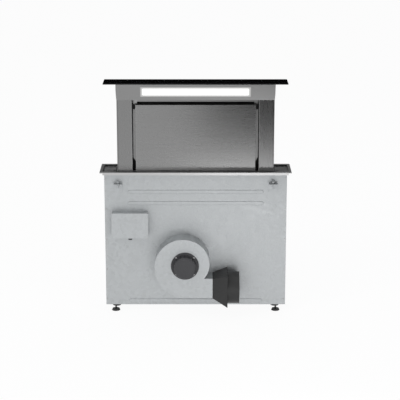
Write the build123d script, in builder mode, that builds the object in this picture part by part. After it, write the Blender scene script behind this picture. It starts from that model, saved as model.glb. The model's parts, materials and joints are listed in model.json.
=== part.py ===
from build123d import *
from math import atan2, cos, degrees, exp, log, radians, sin
import os

os.makedirs("parts", exist_ok=True)

# A downdraft vent for a worktop, drawn with its extraction tower raised.
# The origin is the middle of the worktop cut-out, on the worktop's top face.
# X runs along the vent, Y points away from the cook and Z points up.

sides = (("left", -1), ("right", 1))

# The lift
screw_radius = 6.0
journal_radius = 4.0
screw_gap = 28.0
running_gap = 0.05
turning_gap = 0.3
sliding_gap = 0.3

# Sheet metal
body_sheet = 1.2
column_sheet = 1.5
fold_radius = 2.0
seat_gap = 0.3

# The trim frame on the worktop
trim_length = 900.0
trim_depth = 172.0
trim_height = 6.0
trim_bevel = 1.5
trim_corner = 3.0
rim_end_width = 14.0
rim_side_width = 24.0
skirt_wall = 1.5
skirt_drop = 14.0
gasket_inset = 4.0
gasket_width = 6.0
gasket_thickness = 2.0
lining_thickness = 1.5
lining_top = 5.0
lining_bottom = -0.5

# The floor of the recess in the trim frame
cover_top = -1.0
cover_sheet = 1.5
cover_gap = 3.0
drain_length = 11.0
drain_width = 15.0
drain_gap = 4.0
drain_y = -25.0
bead_width = 6.0
bead_depth = 0.7
bead_margin = 5.0
bead_places = (-8.0, 22.0)
seal_thickness = 2.0

# The tower, from its columns to its panel
recess_length = 68.0
recess_width = 18.0
column_width = 72.0
column_lip = 14.0
tower_foot = 80.0
side_slot = 15.5
top_slot = 23.0
panel_bottom = 4.0
panel_flange = 14.0
panel_edge = 1.0

# The head and its light
head_bottom = 341.0
head_height = 75.0
head_roll_height = 55.0
head_roll_depth = 3.0
head_lean = 8.0
window_margin = 116.5
window_height = 40.0
window_thickness = 3.0
window_corner = 2.0
window_drop = 16.0
tray_depth = 20.0
tray_rim = 6.0
strip_end_gap = 12.0
strip_height = 12.0
strip_thickness = 1.6
light_count = 12
light_size = 5.0
light_thickness = 0.8
touch_length = 140.0
touch_width = 34.0
touch_thickness = 1.5
touch_corner = 2.0

# The glass lid
glass_gap = 6.0
glass_thickness = 6.0
glass_bevel = 2.0
glass_corner = 3.0

# The grease filters and the frame that carries them
filter_frame_front = 20.0
filter_frame_depth = 15.0
filter_frame_lift = 2.0
filter_frame_rise = 4.0
filter_flange = 8.0
filter_seat = 19.0
filter_mullion = 16.0
filter_gap = 2.0
filter_end_gap = 4.8
filter_thickness = 11.0
filter_rim = 10.0
baffle_count = 12
baffle_slot = 9.0
baffle_sheet = 1.0
grip_width = 46.0
grip_height = 12.0
grip_depth = 6.0
grip_bar = 3.0

# Catches, pivots and brackets at the panel's corners
catch_length = 8.5
catch_overhang = 4.5
catch_height = 15.0
catch_depth = 15.0
catch_top_gap = 1.0
pivot_radius = 2.5
pivot_height = 10.0
pivot_inset = 7.0
bracket_width = 14.5
bracket_inset = 1.0
bracket_sheet = 2.0
apron_flange = 12.0

# The housing below the worktop
housing_end_gap = 6.0
housing_side_gap = 2.0
motor_room = 113.0
flange_width = 14.0
rib_inset = 110.0
rib_width = 18.0
rib_height = 2.5
rib_slope = 30.0
upper_ribs = (95.0, 150.0)
lower_rib = 20.0
foot_stem_radius = 4.0
foot_pad_radius = 20.0
foot_pad_height = 8.0
foot_height = 35.0
foot_slope = 20.0
foot_inset = 45.0
foot_side_inset = 22.0

# Lift gear in the two side channels
block_width = 32.0
block_height = 18.0
block_clear = 6.0
upper_block_top = -16.0
block_drop = 44.0
rail_thickness = 10.0
rail_height = 12.0
rail_base_width = 30.0
rail_base = 1.5
rail_end_gap = 4.0
carrier_height = 40.0
carrier_top = -42.0
carrier_plate = 3.0
carrier_width = 44.0
nut_radius = 12.0
nut_flange_radius = 16.0
nut_length = 28.0
nut_flange = 4.0
nut_gap = 0.2
shoe_width = 28.0
shoe_back = 4.0
pulley_radius = 18.0
pulley_flange_radius = 21.0
pulley_flange = 2.0
pulley_height = 14.0
pulley_gap = 4.0
belt_thickness = 1.6
belt_height = 8.0
gearbox_length = 58.0
gearbox_width = 60.0
gearbox_height = 34.0
gearbox_gap = 4.0
gearbox_shift = 3.5
gearbox_corner = 6.0
gearbox_bevel = 1.5
motor_can_radius = 22.0
shaft_socket_depth = 16.0
shaft_end_gap = 2.0
switch_length = 20.0
switch_width = 10.0
switch_height = 14.0
switch_lever = 3.0

# The blower on the front of the housing
blower_x = -50.0
blower_rise = 225.0
scroll_width = 100.0
scroll_sheet = 1.2
scroll_start_radius = 110.0
scroll_end_radius = 160.0
scroll_tongue_angle = -35.0
scroll_steps = 12
scroll_throat = 130.0
inlet_radius = 84.0
inlet_flange = 14.0
inlet_roll = 9.0
inlet_step = 3.0
inlet_sheet = 1.0
impeller_radius = 98.0
blade_inner_radius = 82.0
impeller_width = 68.0
impeller_gap = 7.0
hub_disc = 1.6
hub_radius = 16.0
hub_length = 14.0
ring_width = 4.0
ring_height = 3.0
blade_count = 32
blade_thickness = 1.0
blade_bow = 4.0
blade_lead = 7.0
motor_radius = 52.0
motor_length = 42.0
motor_flange_radius = 66.0
motor_flange = 3.0
motor_bevel = 6.0
motor_screw_count = 4
motor_screw_turn = 45.0
motor_fin_count = 16
motor_fin_width = 4.0
motor_fin_depth = 4.0
motor_shaft_radius = 4.0

# The outlet, its duct collar and its damper
adapter_length = 70.0
adapter_sheet = 1.2
mouth_margin = 2.0
duct_radius = 75.0
duct_gap = 3.0
collar_length = 56.0
collar_wall = 1.5
damper_place = 24.0
damper_pin_radius = 2.0
knuckle_radius = 3.5
knuckle_height = 17.4
knuckle_spacing = 27.0
knuckle_count = 4
flap_thickness = 1.0
flap_gap = 1.6
stop_ring = 3.0

# The control box and the clamps
control_length = 170.0
control_height = 120.0
control_depth = 45.0
control_margin = 35.0
control_z = -250.0
control_corner = 3.0
control_lip = 8.0
gland_radius = 10.0
gland_hex = 24.0
gland_length = 14.0
gland_bore = 4.0
gland_bevel = 1.5
clamp_width = 40.0
clamp_reach = 30.0
clamp_height = 45.0
clamp_top = -52.0
clamp_sheet = 3.0
clamp_bolt_radius = 3.0
clamp_pad_radius = 8.0
clamp_pad_height = 4.0
clamp_inset = 65.0
worktop_thickness = 40.0
screw_head_radius = 4.0
screw_head_height = 2.4
screw_edge = 7.0
screw_end_margin = 28.0
screw_rows = 5

# Sizes that follow from the ones above
opening_length = trim_length - 2 * rim_end_width
opening_depth = trim_depth - 2 * rim_side_width
tower_width = opening_length - 2 * recess_length
tower_depth = opening_depth - 2 * recess_width
glass_length = opening_length - 2 * glass_gap
glass_depth = opening_depth - 2 * glass_gap
housing_length = opening_length - 2 * housing_end_gap
housing_depth = opening_depth - 2 * housing_side_gap
head_top = head_bottom + head_height
lift_travel = head_top
front_face = -tower_depth / 2
back_face = tower_depth / 2
tower_half = tower_width / 2
column_x = tower_half - column_width / 2
column_inner = tower_half - column_width
opening_half = opening_length / 2
slot_half = opening_depth / 2
head_half = tower_half + head_roll_depth
cover_underside = cover_top - cover_sheet
cover_inner = head_half + cover_gap
housing_half = housing_length / 2
housing_front_face = -housing_depth / 2
housing_inner_x = housing_half - body_sheet
housing_inner_y = housing_depth / 2 - body_sheet
lower_block_top = carrier_top - carrier_height - lift_travel - block_drop
housing_drop = motor_room - lower_block_top
channel_height = housing_drop + cover_underside
tower_height = head_bottom + tower_foot
screw_x = tower_half + screw_gap
panel_half = column_inner - side_slot
panel_top = head_bottom - top_slot
filter_frame_half = panel_half + catch_length
filter_frame_bottom = panel_bottom + filter_frame_lift
filter_frame_top = panel_top + filter_frame_rise
window_width = tower_width - 2 * window_margin
blower_z = blower_rise - housing_drop
control_x = control_margin + control_length / 2 - housing_half


# Trim frame: a bevelled rim on the worktop, with a skirt that drops into the cut-out.
with BuildPart() as trim_frame:
    with BuildSketch():
        RectangleRounded(trim_length, trim_depth, trim_corner)
        Rectangle(opening_length, opening_depth, mode=Mode.SUBTRACT)
    extrude(amount=trim_height)
    chamfer(trim_frame.faces().sort_by(Axis.Z)[-1].outer_wire().edges(), trim_bevel)
    with BuildSketch(Plane.XY.offset(-skirt_drop)):
        Rectangle(opening_length + 2 * skirt_wall, opening_depth + 2 * skirt_wall)
        Rectangle(opening_length, opening_depth, mode=Mode.SUBTRACT)
    extrude(amount=skirt_drop)
    with BuildSketch() as gasket_groove:
        Rectangle(trim_length - 2 * gasket_inset, trim_depth - 2 * gasket_inset)
        gasket_far = 2 * (gasket_inset + gasket_width)
        Rectangle(trim_length - gasket_far, trim_depth - gasket_far, mode=Mode.SUBTRACT)
    extrude(amount=gasket_thickness, mode=Mode.SUBTRACT)
trim_frame.part.label = "trim_frame"
export_step(trim_frame.part, "parts/trim_frame.step")

# Foam gasket in the groove under the rim.
with BuildPart() as worktop_gasket:
    with BuildSketch():
        add(gasket_groove.sketch)
    extrude(amount=gasket_thickness)
worktop_gasket.part.label = "worktop_gasket"
export_step(worktop_gasket.part, "parts/worktop_gasket.step")

# Rubber lining of the recess, which the glass lid closes against.
with BuildPart() as recess_lining:
    with BuildSketch(Plane.XY.offset(lining_bottom)):
        Rectangle(opening_length, opening_depth)
        inner_length = opening_length - 2 * lining_thickness
        Rectangle(inner_length, opening_depth - 2 * lining_thickness, mode=Mode.SUBTRACT)
    extrude(amount=lining_top - lining_bottom)
recess_lining.part.label = "recess_lining"
export_step(recess_lining.part, "parts/recess_lining.step")

# Brush seals before and behind the tower, on the housing's top flanges.
front_seal_width = slot_half + front_face - head_lean - cover_gap / 2
back_seal_width = slot_half - back_face - cover_gap / 2
with BuildPart() as slot_seals:
    with BuildSketch(Plane.XY.offset(cover_underside)):
        with Locations((0, -slot_half + front_seal_width / 2)):
            Rectangle(2 * cover_inner, front_seal_width)
        with Locations((0, slot_half - back_seal_width / 2)):
            Rectangle(2 * cover_inner, back_seal_width)
    extrude(amount=seal_thickness)
slot_seals.part.label = "slot_seals"
export_step(slot_seals.part, "parts/slot_seals.step")

# End covers: the recess floor at each end, with a drain slot and two pressed beads.
cover_length = opening_half - seat_gap - cover_inner
cover_x = cover_inner + cover_length / 2
for side, sign in sides:
    with BuildPart() as end_cover:
        with BuildSketch(Plane.XY.offset(cover_underside)):
            with Locations((sign * cover_x, 0)):
                Rectangle(cover_length, opening_depth - 2 * seat_gap)
            with Locations((sign * (cover_inner + drain_gap + drain_length / 2), drain_y)):
                Rectangle(drain_length, drain_width, mode=Mode.SUBTRACT)
        extrude(amount=cover_sheet)
        with BuildSketch(Plane.XY.offset(cover_top)):
            for bead_y in bead_places:
                with Locations((sign * cover_x, bead_y)):
                    SlotOverall(cover_length - 2 * bead_margin, bead_width)
        extrude(amount=-bead_depth, mode=Mode.SUBTRACT)
    end_cover.part.label = f"{side}_end_cover"
    export_step(end_cover.part, f"parts/{side}_end_cover.step")

# Housing front: a folded sheet with pressed ribs and the blower's inlet hole.
rib_length = housing_length - 2 * rib_inset
rib_places = [-rib_drop for rib_drop in upper_ribs] + [lower_rib - housing_drop]
with BuildPart() as housing_front:
    with BuildSketch(Plane.XZ.offset(-housing_front_face - body_sheet)):
        with Locations((0, cover_underside - channel_height / 2)):
            Rectangle(housing_length, channel_height)
    extrude(amount=body_sheet)
    with BuildSketch(Plane.XY.offset(cover_underside)):
        with Locations((0, (housing_front_face - slot_half) / 2)):
            Rectangle(housing_length, slot_half + housing_front_face)
    extrude(amount=-body_sheet)
    with BuildSketch(Plane.XZ.offset(-housing_front_face)):
        for rib_z in rib_places:
            with Locations((0, rib_z)):
                SlotOverall(rib_length, rib_width)
    extrude(amount=rib_height, taper=rib_slope)
    with BuildSketch(Plane.XZ.offset(-housing_front_face - body_sheet)):
        with Locations((blower_x, blower_z)):
            Circle(inlet_radius + inlet_roll)
    extrude(amount=body_sheet + rib_height, mode=Mode.SUBTRACT)
housing_front.part.label = "housing_front"
export_step(housing_front.part, "parts/housing_front.step")

# Housing back: the same folded sheet without the hole.
with BuildPart() as housing_back:
    with BuildSketch(Plane.XZ.offset(-housing_depth / 2)):
        with Locations((0, cover_underside - channel_height / 2)):
            Rectangle(housing_length, channel_height)
    extrude(amount=body_sheet)
    with BuildSketch(Plane.XY.offset(cover_underside)):
        with Locations((0, (slot_half - housing_front_face) / 2)):
            Rectangle(housing_length, slot_half + housing_front_face)
    extrude(amount=-body_sheet)
    with BuildSketch(Plane.XZ.offset(-housing_depth / 2)):
        for rib_z in rib_places:
            with Locations((0, rib_z)):
                SlotOverall(rib_length, rib_width)
    extrude(amount=-rib_height, taper=rib_slope)
housing_back.part.label = "housing_back"
export_step(housing_back.part, "parts/housing_back.step")

# Housing sides: channels that the front and back sheets lap over.
side_flange_x = housing_half + (opening_half - housing_half) / 2
for side, sign in sides:
    with BuildPart() as housing_side:
        with BuildSketch(Plane.XY.offset(cover_underside)):
            with Locations((sign * (housing_half - body_sheet / 2), 0)):
                Rectangle(body_sheet, 2 * housing_inner_y)
            with Locations((sign * (housing_half - flange_width / 2), 0)):
                Rectangle(flange_width, 2 * housing_inner_y)
                window = flange_width - body_sheet
            with Locations((sign * (housing_inner_x - window / 2), 0)):
                Rectangle(window, 2 * (housing_inner_y - body_sheet), mode=Mode.SUBTRACT)
        extrude(amount=-channel_height)
        with BuildSketch(Plane.XY.offset(cover_underside)):
            with Locations((sign * side_flange_x, 0)):
                Rectangle(opening_half - housing_half, 2 * housing_inner_y)
        extrude(amount=-body_sheet)
    housing_side.part.label = f"{side}_housing_side"
    export_step(housing_side.part, f"parts/{side}_housing_side.step")

# Housing base: a shallow tray between the four walls.
with BuildPart() as housing_base:
    with BuildSketch(Plane.XY.offset(-housing_drop)):
        Rectangle(2 * (housing_half - flange_width), 2 * housing_inner_y)
    extrude(amount=flange_width)
    with BuildSketch(Plane.XY.offset(-housing_drop + body_sheet)):
        Rectangle(2 * (housing_half - flange_width), 2 * (housing_inner_y - body_sheet))
    extrude(amount=flange_width, mode=Mode.SUBTRACT)
    with BuildSketch(Plane.XY.offset(-housing_drop)):
        Rectangle(2 * housing_inner_x, 2 * (housing_inner_y - body_sheet))
    extrude(amount=body_sheet)
housing_base.part.label = "housing_base"
export_step(housing_base.part, "parts/housing_base.step")

# Adjustable feet: a pad, a lock nut and a threaded stem under each corner of the base.
foot_x = housing_half - foot_inset
foot_y = housing_depth / 2 - foot_side_inset
with BuildPart() as support_feet:
    with BuildSketch(Plane.XY.offset(-housing_drop)):
        with GridLocations(2 * foot_x, 2 * foot_y, 2, 2):
            Circle(foot_stem_radius)
    extrude(amount=-foot_height)
    with BuildSketch(Plane.XY.offset(-housing_drop)):
        with GridLocations(2 * foot_x, 2 * foot_y, 2, 2):
            RegularPolygon(2 * foot_stem_radius, 6)
    extrude(amount=-foot_stem_radius)
    with BuildSketch(Plane.XY.offset(-housing_drop - foot_height)):
        with GridLocations(2 * foot_x, 2 * foot_y, 2, 2):
            Circle(foot_pad_radius)
    extrude(amount=foot_pad_height, taper=foot_slope)
support_feet.part.label = "support_feet"
export_step(support_feet.part, "parts/support_feet.step")

# Guide rails: a bar on a thin base along the inside of each housing side.
rail_top = upper_block_top - block_height - rail_end_gap
rail_length = rail_top - lower_block_top - rail_end_gap
for side, sign in sides:
    with BuildPart() as guide_rail:
        with BuildSketch(Plane.XY.offset(rail_top)):
            with Locations((sign * (housing_inner_x - rail_base / 2), 0)):
                Rectangle(rail_base, rail_base_width)
            with Locations((sign * (housing_inner_x - rail_height / 2), 0)):
                Rectangle(rail_height, rail_thickness)
        extrude(amount=-rail_length)
    guide_rail.part.label = f"{side}_guide_rail"
    export_step(guide_rail.part, f"parts/{side}_guide_rail.step")

# Bearing blocks: the lift screws turn in one at the top and one at the bottom.
block_inner = head_half + block_clear
block_length = housing_inner_x - block_inner
block_x = block_inner + block_length / 2
for level, block_top in (("upper", upper_block_top), ("lower", lower_block_top)):
    with BuildPart() as bearing_blocks:
        with BuildSketch(Plane.XY.offset(block_top)):
            with GridLocations(2 * block_x, 0, 2, 1):
                Rectangle(block_length, block_width)
            with GridLocations(2 * screw_x, 0, 2, 1):
                Circle(journal_radius + running_gap, mode=Mode.SUBTRACT)
        extrude(amount=-block_height)
    bearing_blocks.part.label = f"{level}_bearing_blocks"
    export_step(bearing_blocks.part, f"parts/{level}_bearing_blocks.step")

# Lift screws: a plain rod of the thread's outer size, with a turned journal at each end.
socket_top = lower_block_top - block_height - pulley_gap - pulley_height - gearbox_gap
screw_bottom = {"left": socket_top + gearbox_gap, "right": socket_top - shaft_socket_depth + shaft_end_gap}
for side, sign in sides:
    with BuildPart() as lift_screw:
        with BuildSketch(Plane.XY.offset(screw_bottom[side])):
            with Locations((sign * screw_x, 0)):
                Circle(journal_radius)
        extrude(amount=upper_block_top - screw_bottom[side])
        with BuildSketch(Plane.XY.offset(lower_block_top + sliding_gap)):
            with Locations((sign * screw_x, 0)):
                Circle(screw_radius)
        extrude(amount=upper_block_top - block_height - lower_block_top - 2 * sliding_gap)
    lift_screw.part.label = f"{side}_lift_screw"
    export_step(lift_screw.part, f"parts/{side}_lift_screw.step")

# Belt pulleys: one under each lower bearing block, with a flange below the belt.
pulley_top = lower_block_top - block_height - pulley_gap
for side, sign in sides:
    with BuildPart() as belt_pulley:
        with BuildSketch(Plane.XY.offset(pulley_top)):
            with Locations((sign * screw_x, 0)):
                Circle(pulley_radius)
        extrude(amount=-pulley_height)
        with BuildSketch(Plane.XY.offset(pulley_top - pulley_height)):
            with Locations((sign * screw_x, 0)):
                Circle(pulley_flange_radius)
        extrude(amount=pulley_flange)
        with BuildSketch(Plane.XY.offset(pulley_top)):
            with Locations((sign * screw_x, 0)):
                Circle(journal_radius)
        extrude(amount=-pulley_height, mode=Mode.SUBTRACT)
    belt_pulley.part.label = f"{side}_belt_pulley"
    export_step(belt_pulley.part, f"parts/{side}_belt_pulley.step")

# Drive belt: one loop round both pulleys, so that the two screws turn together.
belt_inner_width = 2 * (pulley_radius + turning_gap)
with BuildPart() as drive_belt:
    with BuildSketch(Plane.XY.offset(pulley_top - pulley_height / 2 - belt_height / 2)):
        SlotCenterToCenter(2 * screw_x, belt_inner_width + 2 * belt_thickness)
        SlotCenterToCenter(2 * screw_x, belt_inner_width, mode=Mode.SUBTRACT)
    extrude(amount=belt_height)
drive_belt.part.label = "drive_belt"
export_step(drive_belt.part, "parts/drive_belt.step")

# Lift motor: a gearbox round the right screw's lower end, on a motor can.
can_bottom = -housing_drop + body_sheet
gearbox_x = screw_x + gearbox_shift
with BuildPart() as lift_motor:
    with BuildSketch(Plane.XY.offset(socket_top)):
        with Locations((gearbox_x, 0)):
            RectangleRounded(gearbox_length, gearbox_width, gearbox_corner)
    extrude(amount=-gearbox_height)
    chamfer(lift_motor.faces().sort_by(Axis.Z)[-1].outer_wire().edges(), gearbox_bevel)
    with BuildSketch(Plane.XY.offset(socket_top - gearbox_height)):
        with Locations((gearbox_x, 0)):
            Circle(motor_can_radius)
    extrude(amount=can_bottom - (socket_top - gearbox_height))
    with BuildSketch(Plane.XY.offset(socket_top)):
        with Locations((screw_x, 0)):
            Circle(journal_radius + running_gap)
    extrude(amount=-shaft_socket_depth, mode=Mode.SUBTRACT)
lift_motor.part.label = "lift_motor"
export_step(lift_motor.part, "parts/lift_motor.step")

# Limit switches: one at each end of the lift's travel, on the inside of the housing back.
switch_y = housing_inner_y - switch_width / 2
switch_places = (carrier_top + switch_height / 2, carrier_top - carrier_height - lift_travel)
with BuildPart() as limit_switches:
    for switch_z in switch_places:
        with BuildSketch(Plane.XY.offset(switch_z)):
            with Locations((screw_x, switch_y)):
                Rectangle(switch_length, switch_width)
            with Locations((screw_x, switch_y - switch_width / 2 - switch_lever / 2)):
                Rectangle(switch_lever, switch_lever)
        extrude(amount=-switch_height)
limit_switches.part.label = "limit_switches"
export_step(limit_switches.part, "parts/limit_switches.step")

# Lift carriers: folded brackets from the foot of each column out to the screw and the rail.
shelf_z = carrier_top - carrier_height / 2
rail_face = housing_inner_x - rail_height
shoe_inner = rail_face - shoe_back
for side, sign in sides:
    with BuildPart() as lift_carrier:
        with BuildSketch(Plane.XY.offset(carrier_top)):
            with Locations((sign * (tower_half + carrier_plate / 2), 0)):
                Rectangle(carrier_plate, carrier_width)
            with Locations((sign * (shoe_inner - carrier_plate / 2), 0)):
                Rectangle(carrier_plate, shoe_width)
        extrude(amount=-carrier_height)
        with BuildSketch(Plane.XY.offset(shelf_z)):
            with BuildLine():
                Polyline(
                    (sign * tower_half, -carrier_width / 2),
                    (sign * shoe_inner, -shoe_width / 2),
                    (sign * shoe_inner, shoe_width / 2),
                    (sign * tower_half, carrier_width / 2),
                    close=True,
                )
            make_face()
            with Locations((sign * screw_x, 0)):
                Circle(nut_radius, mode=Mode.SUBTRACT)
        extrude(amount=-carrier_plate)
    lift_carrier.part.label = f"{side}_lift_carrier"
    export_step(lift_carrier.part, f"parts/{side}_lift_carrier.step")

# Screw nuts: a flanged bronze nut hangs through each carrier's shelf.
nut_room = shoe_inner - carrier_plate - screw_x - seat_gap
with BuildPart() as screw_nuts:
    with BuildSketch(Plane.XY.offset(shelf_z + nut_flange)):
        with GridLocations(2 * screw_x, 0, 2, 1):
            Circle(nut_radius)
    extrude(amount=-nut_length)
    with BuildSketch(Plane.XY.offset(shelf_z + nut_flange)):
        with GridLocations(2 * screw_x, 0, 2, 1):
            Circle(min(nut_flange_radius, nut_room))
    extrude(amount=-nut_flange)
    with BuildSketch(Plane.XY.offset(shelf_z + nut_flange)):
        with GridLocations(2 * screw_x, 0, 2, 1):
            Circle(screw_radius + nut_gap)
    extrude(amount=-nut_length, mode=Mode.SUBTRACT)
screw_nuts.part.label = "screw_nuts"
export_step(screw_nuts.part, "parts/screw_nuts.step")

# Guide shoes: grooved plastic blocks on the carriers, which slide on the rails.
shoe_length = housing_inner_x - rail_base - sliding_gap - shoe_inner
groove_length = shoe_length - shoe_back + sliding_gap
groove_x = shoe_inner + shoe_length - groove_length / 2
with BuildPart() as guide_shoes:
    with BuildSketch(Plane.XY.offset(carrier_top)):
        with GridLocations(2 * shoe_inner + shoe_length, 0, 2, 1):
            Rectangle(shoe_length, shoe_width)
        with GridLocations(2 * groove_x, 0, 2, 1):
            Rectangle(groove_length, rail_thickness + 2 * sliding_gap, mode=Mode.SUBTRACT)
    extrude(amount=-carrier_height)
guide_shoes.part.label = "guide_shoes"
export_step(guide_shoes.part, "parts/guide_shoes.step")

# Columns: folded channels, open to the back between two lips.
column_back = back_face - body_sheet
column_depth = column_back - front_face
for side, sign in sides:
    with BuildPart() as column:
        with BuildSketch(Plane.XY.offset(-tower_foot)):
            with Locations((sign * column_x, (front_face + column_back) / 2)):
                RectangleRounded(column_width, column_depth, fold_radius)
                inner_width = column_width - 2 * column_sheet
                Rectangle(inner_width, column_depth - 2 * column_sheet, mode=Mode.SUBTRACT)
            with Locations((sign * column_x, column_back)):
                Rectangle(column_width - 2 * column_lip, 2 * column_lip, mode=Mode.SUBTRACT)
        extrude(amount=tower_height)
    column.part.label = f"{side}_column"
    export_step(column.part, f"parts/{side}_column.step")

# Rear panel: one flat sheet across the backs of both columns.
with BuildPart() as rear_panel:
    with BuildSketch(Plane.XZ.offset(-back_face)):
        with Locations((0, head_bottom - tower_height / 2)):
            Rectangle(tower_width - 2 * fold_radius, tower_height)
    extrude(amount=body_sheet)
rear_panel.part.label = "rear_panel"
export_step(rear_panel.part, "parts/rear_panel.step")


# The head's outer form: its face leans forward, and its lower ends roll in to the columns.
def head_form(inset):
    roll_top = head_bottom + head_roll_height
    with BuildPart() as form:
        with BuildSketch(Plane.YZ):
            with BuildLine():
                Polyline(
                    (front_face, head_bottom),
                    (front_face - head_lean, head_top),
                    (back_face, head_top),
                    (back_face, head_bottom),
                    close=True,
                )
            make_face()
            if inset:
                offset(amount=-inset, kind=Kind.INTERSECTION, mode=Mode.REPLACE)
        extrude(amount=head_half, both=True)
        with BuildSketch(Plane.XZ.offset(-back_face)):
            with BuildLine():
                Line((0, head_top), (head_half, head_top))
                Line((head_half, head_top), (head_half, roll_top))
                roll = TangentArc((head_half, roll_top), (tower_half, head_bottom), tangent=(0, -1))
                Polyline(roll @ 1, (0, head_bottom), (0, head_top))
            make_face()
            mirror(about=Plane.YZ)
            if inset:
                offset(amount=-inset, kind=Kind.INTERSECTION, mode=Mode.REPLACE)
        extrude(amount=tower_depth + head_lean, mode=Mode.INTERSECT)
    return form.part


# The light window lies flush in the head's leaning face.
lean_angle = atan2(head_lean, head_top - head_bottom)
window_z = head_top - window_drop - window_height / 2
window_y = front_face - head_lean * (window_z - head_bottom) / (head_top - head_bottom)
window_plane = Plane(
    origin=(0, window_y, window_z),
    x_dir=(1, 0, 0),
    z_dir=(0, -cos(lean_angle), -sin(lean_angle)),
)
with BuildPart() as light_window:
    with BuildSketch(window_plane):
        RectangleRounded(window_width, window_height, window_corner)
    extrude(amount=-window_thickness)
light_window.part.label = "light_window"
export_step(light_window.part, "parts/light_window.step")

# Light tray: a folded trough round the window, with a rim against the inside of the face.
tray_plane = window_plane.offset(-column_sheet)
with BuildPart() as light_tray:
    with BuildSketch(tray_plane):
        Rectangle(window_width + 2 * tray_rim, window_height + 2 * tray_rim)
    extrude(amount=-body_sheet)
    with BuildSketch(tray_plane):
        Rectangle(window_width + 2 * body_sheet, window_height + 2 * body_sheet)
    extrude(amount=-tray_depth)
    with BuildSketch(tray_plane):
        Rectangle(window_width, window_height)
    extrude(amount=body_sheet - tray_depth, mode=Mode.SUBTRACT)
light_tray.part.label = "light_tray"
export_step(light_tray.part, "parts/light_tray.step")

# Light strip: a narrow board on the floor of the tray, with a row of light chips.
strip_plane = tray_plane.offset(body_sheet - tray_depth)
with BuildPart() as light_strip:
    with BuildSketch(strip_plane):
        Rectangle(window_width - 2 * strip_end_gap, strip_height)
    extrude(amount=strip_thickness)
    with BuildSketch(strip_plane.offset(strip_thickness)):
        with GridLocations(window_width / (light_count + 1), 0, light_count, 1):
            Rectangle(light_size, light_size)
    extrude(amount=light_thickness)
light_strip.part.label = "light_strip"
export_step(light_strip.part, "parts/light_strip.step")

# Touch board: it lies in the head's top, right under the glass.
touch_x = tower_half - column_width - touch_length / 2
touch_y = (front_face + back_face) / 2
with BuildPart() as touch_board:
    with BuildSketch(Plane.XY.offset(head_top - touch_thickness)):
        with Locations((touch_x, touch_y)):
            RectangleRounded(touch_length, touch_width, touch_corner)
    extrude(amount=touch_thickness)
touch_board.part.label = "touch_board"
export_step(touch_board.part, "parts/touch_board.step")

# Head shell: folded sheet with the window cut in its face and a pocket for the touch board.
with BuildPart() as head_shell:
    add(head_form(0))
    add(head_form(column_sheet), mode=Mode.SUBTRACT)
    with BuildSketch(window_plane):
        RectangleRounded(window_width, window_height, window_corner)
    extrude(amount=-window_thickness, mode=Mode.SUBTRACT)
    with BuildSketch(Plane.XY.offset(head_top)):
        with Locations((touch_x, touch_y)):
            RectangleRounded(touch_length, touch_width, touch_corner)
    extrude(amount=-touch_thickness, mode=Mode.SUBTRACT)
head_shell.part.label = "head_shell"
export_step(head_shell.part, "parts/head_shell.step")

# Glass lid: bevelled black glass that closes the recess when the tower is down.
with BuildPart() as glass_lid:
    with BuildSketch(Plane.XY.offset(head_top)):
        RectangleRounded(glass_length, glass_depth, glass_corner)
    extrude(amount=glass_thickness)
    chamfer(glass_lid.faces().sort_by(Axis.Z)[-1].outer_wire().edges(), glass_bevel)
glass_lid.part.label = "glass_lid"
export_step(glass_lid.part, "parts/glass_lid.step")

# Filter frame: a sheet between the columns, with a boxed seat for the two filters.
frame_y = front_face + filter_frame_front
seat_y = frame_y + filter_frame_depth
frame_height = filter_frame_top - filter_frame_bottom
frame_inner_height = frame_height - 2 * body_sheet
frame_z = filter_frame_bottom + frame_height / 2
filter_window = 2 * (filter_frame_half - filter_seat)
sheet_bottom = filter_frame_bottom - filter_flange
with BuildPart() as filter_frame:
    with BuildSketch(Plane.XZ.offset(-seat_y - body_sheet)):
        with Locations((0, (head_bottom + sheet_bottom) / 2)):
            Rectangle(2 * column_inner, head_bottom - sheet_bottom)
        with Locations((0, frame_z)):
            Rectangle(filter_window, frame_height - 2 * filter_seat, mode=Mode.SUBTRACT)
            Rectangle(filter_mullion, frame_height)
    extrude(amount=body_sheet)
    with BuildSketch(Plane.XZ.offset(-seat_y)):
        with Locations((0, frame_z)):
            Rectangle(2 * filter_frame_half, frame_height)
            inner_width = 2 * (filter_frame_half - body_sheet)
            Rectangle(inner_width, frame_inner_height, mode=Mode.SUBTRACT)
    extrude(amount=filter_frame_depth)
    with BuildSketch(Plane.XZ.offset(-frame_y)):
        with Locations((0, frame_z)):
            Rectangle(2 * filter_frame_half, frame_height)
            flange_width_between = 2 * (filter_frame_half - filter_flange)
            Rectangle(flange_width_between, frame_inner_height, mode=Mode.SUBTRACT)
    extrude(amount=-body_sheet)
filter_frame.part.label = "filter_frame"
export_step(filter_frame.part, "parts/filter_frame.step")

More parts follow.
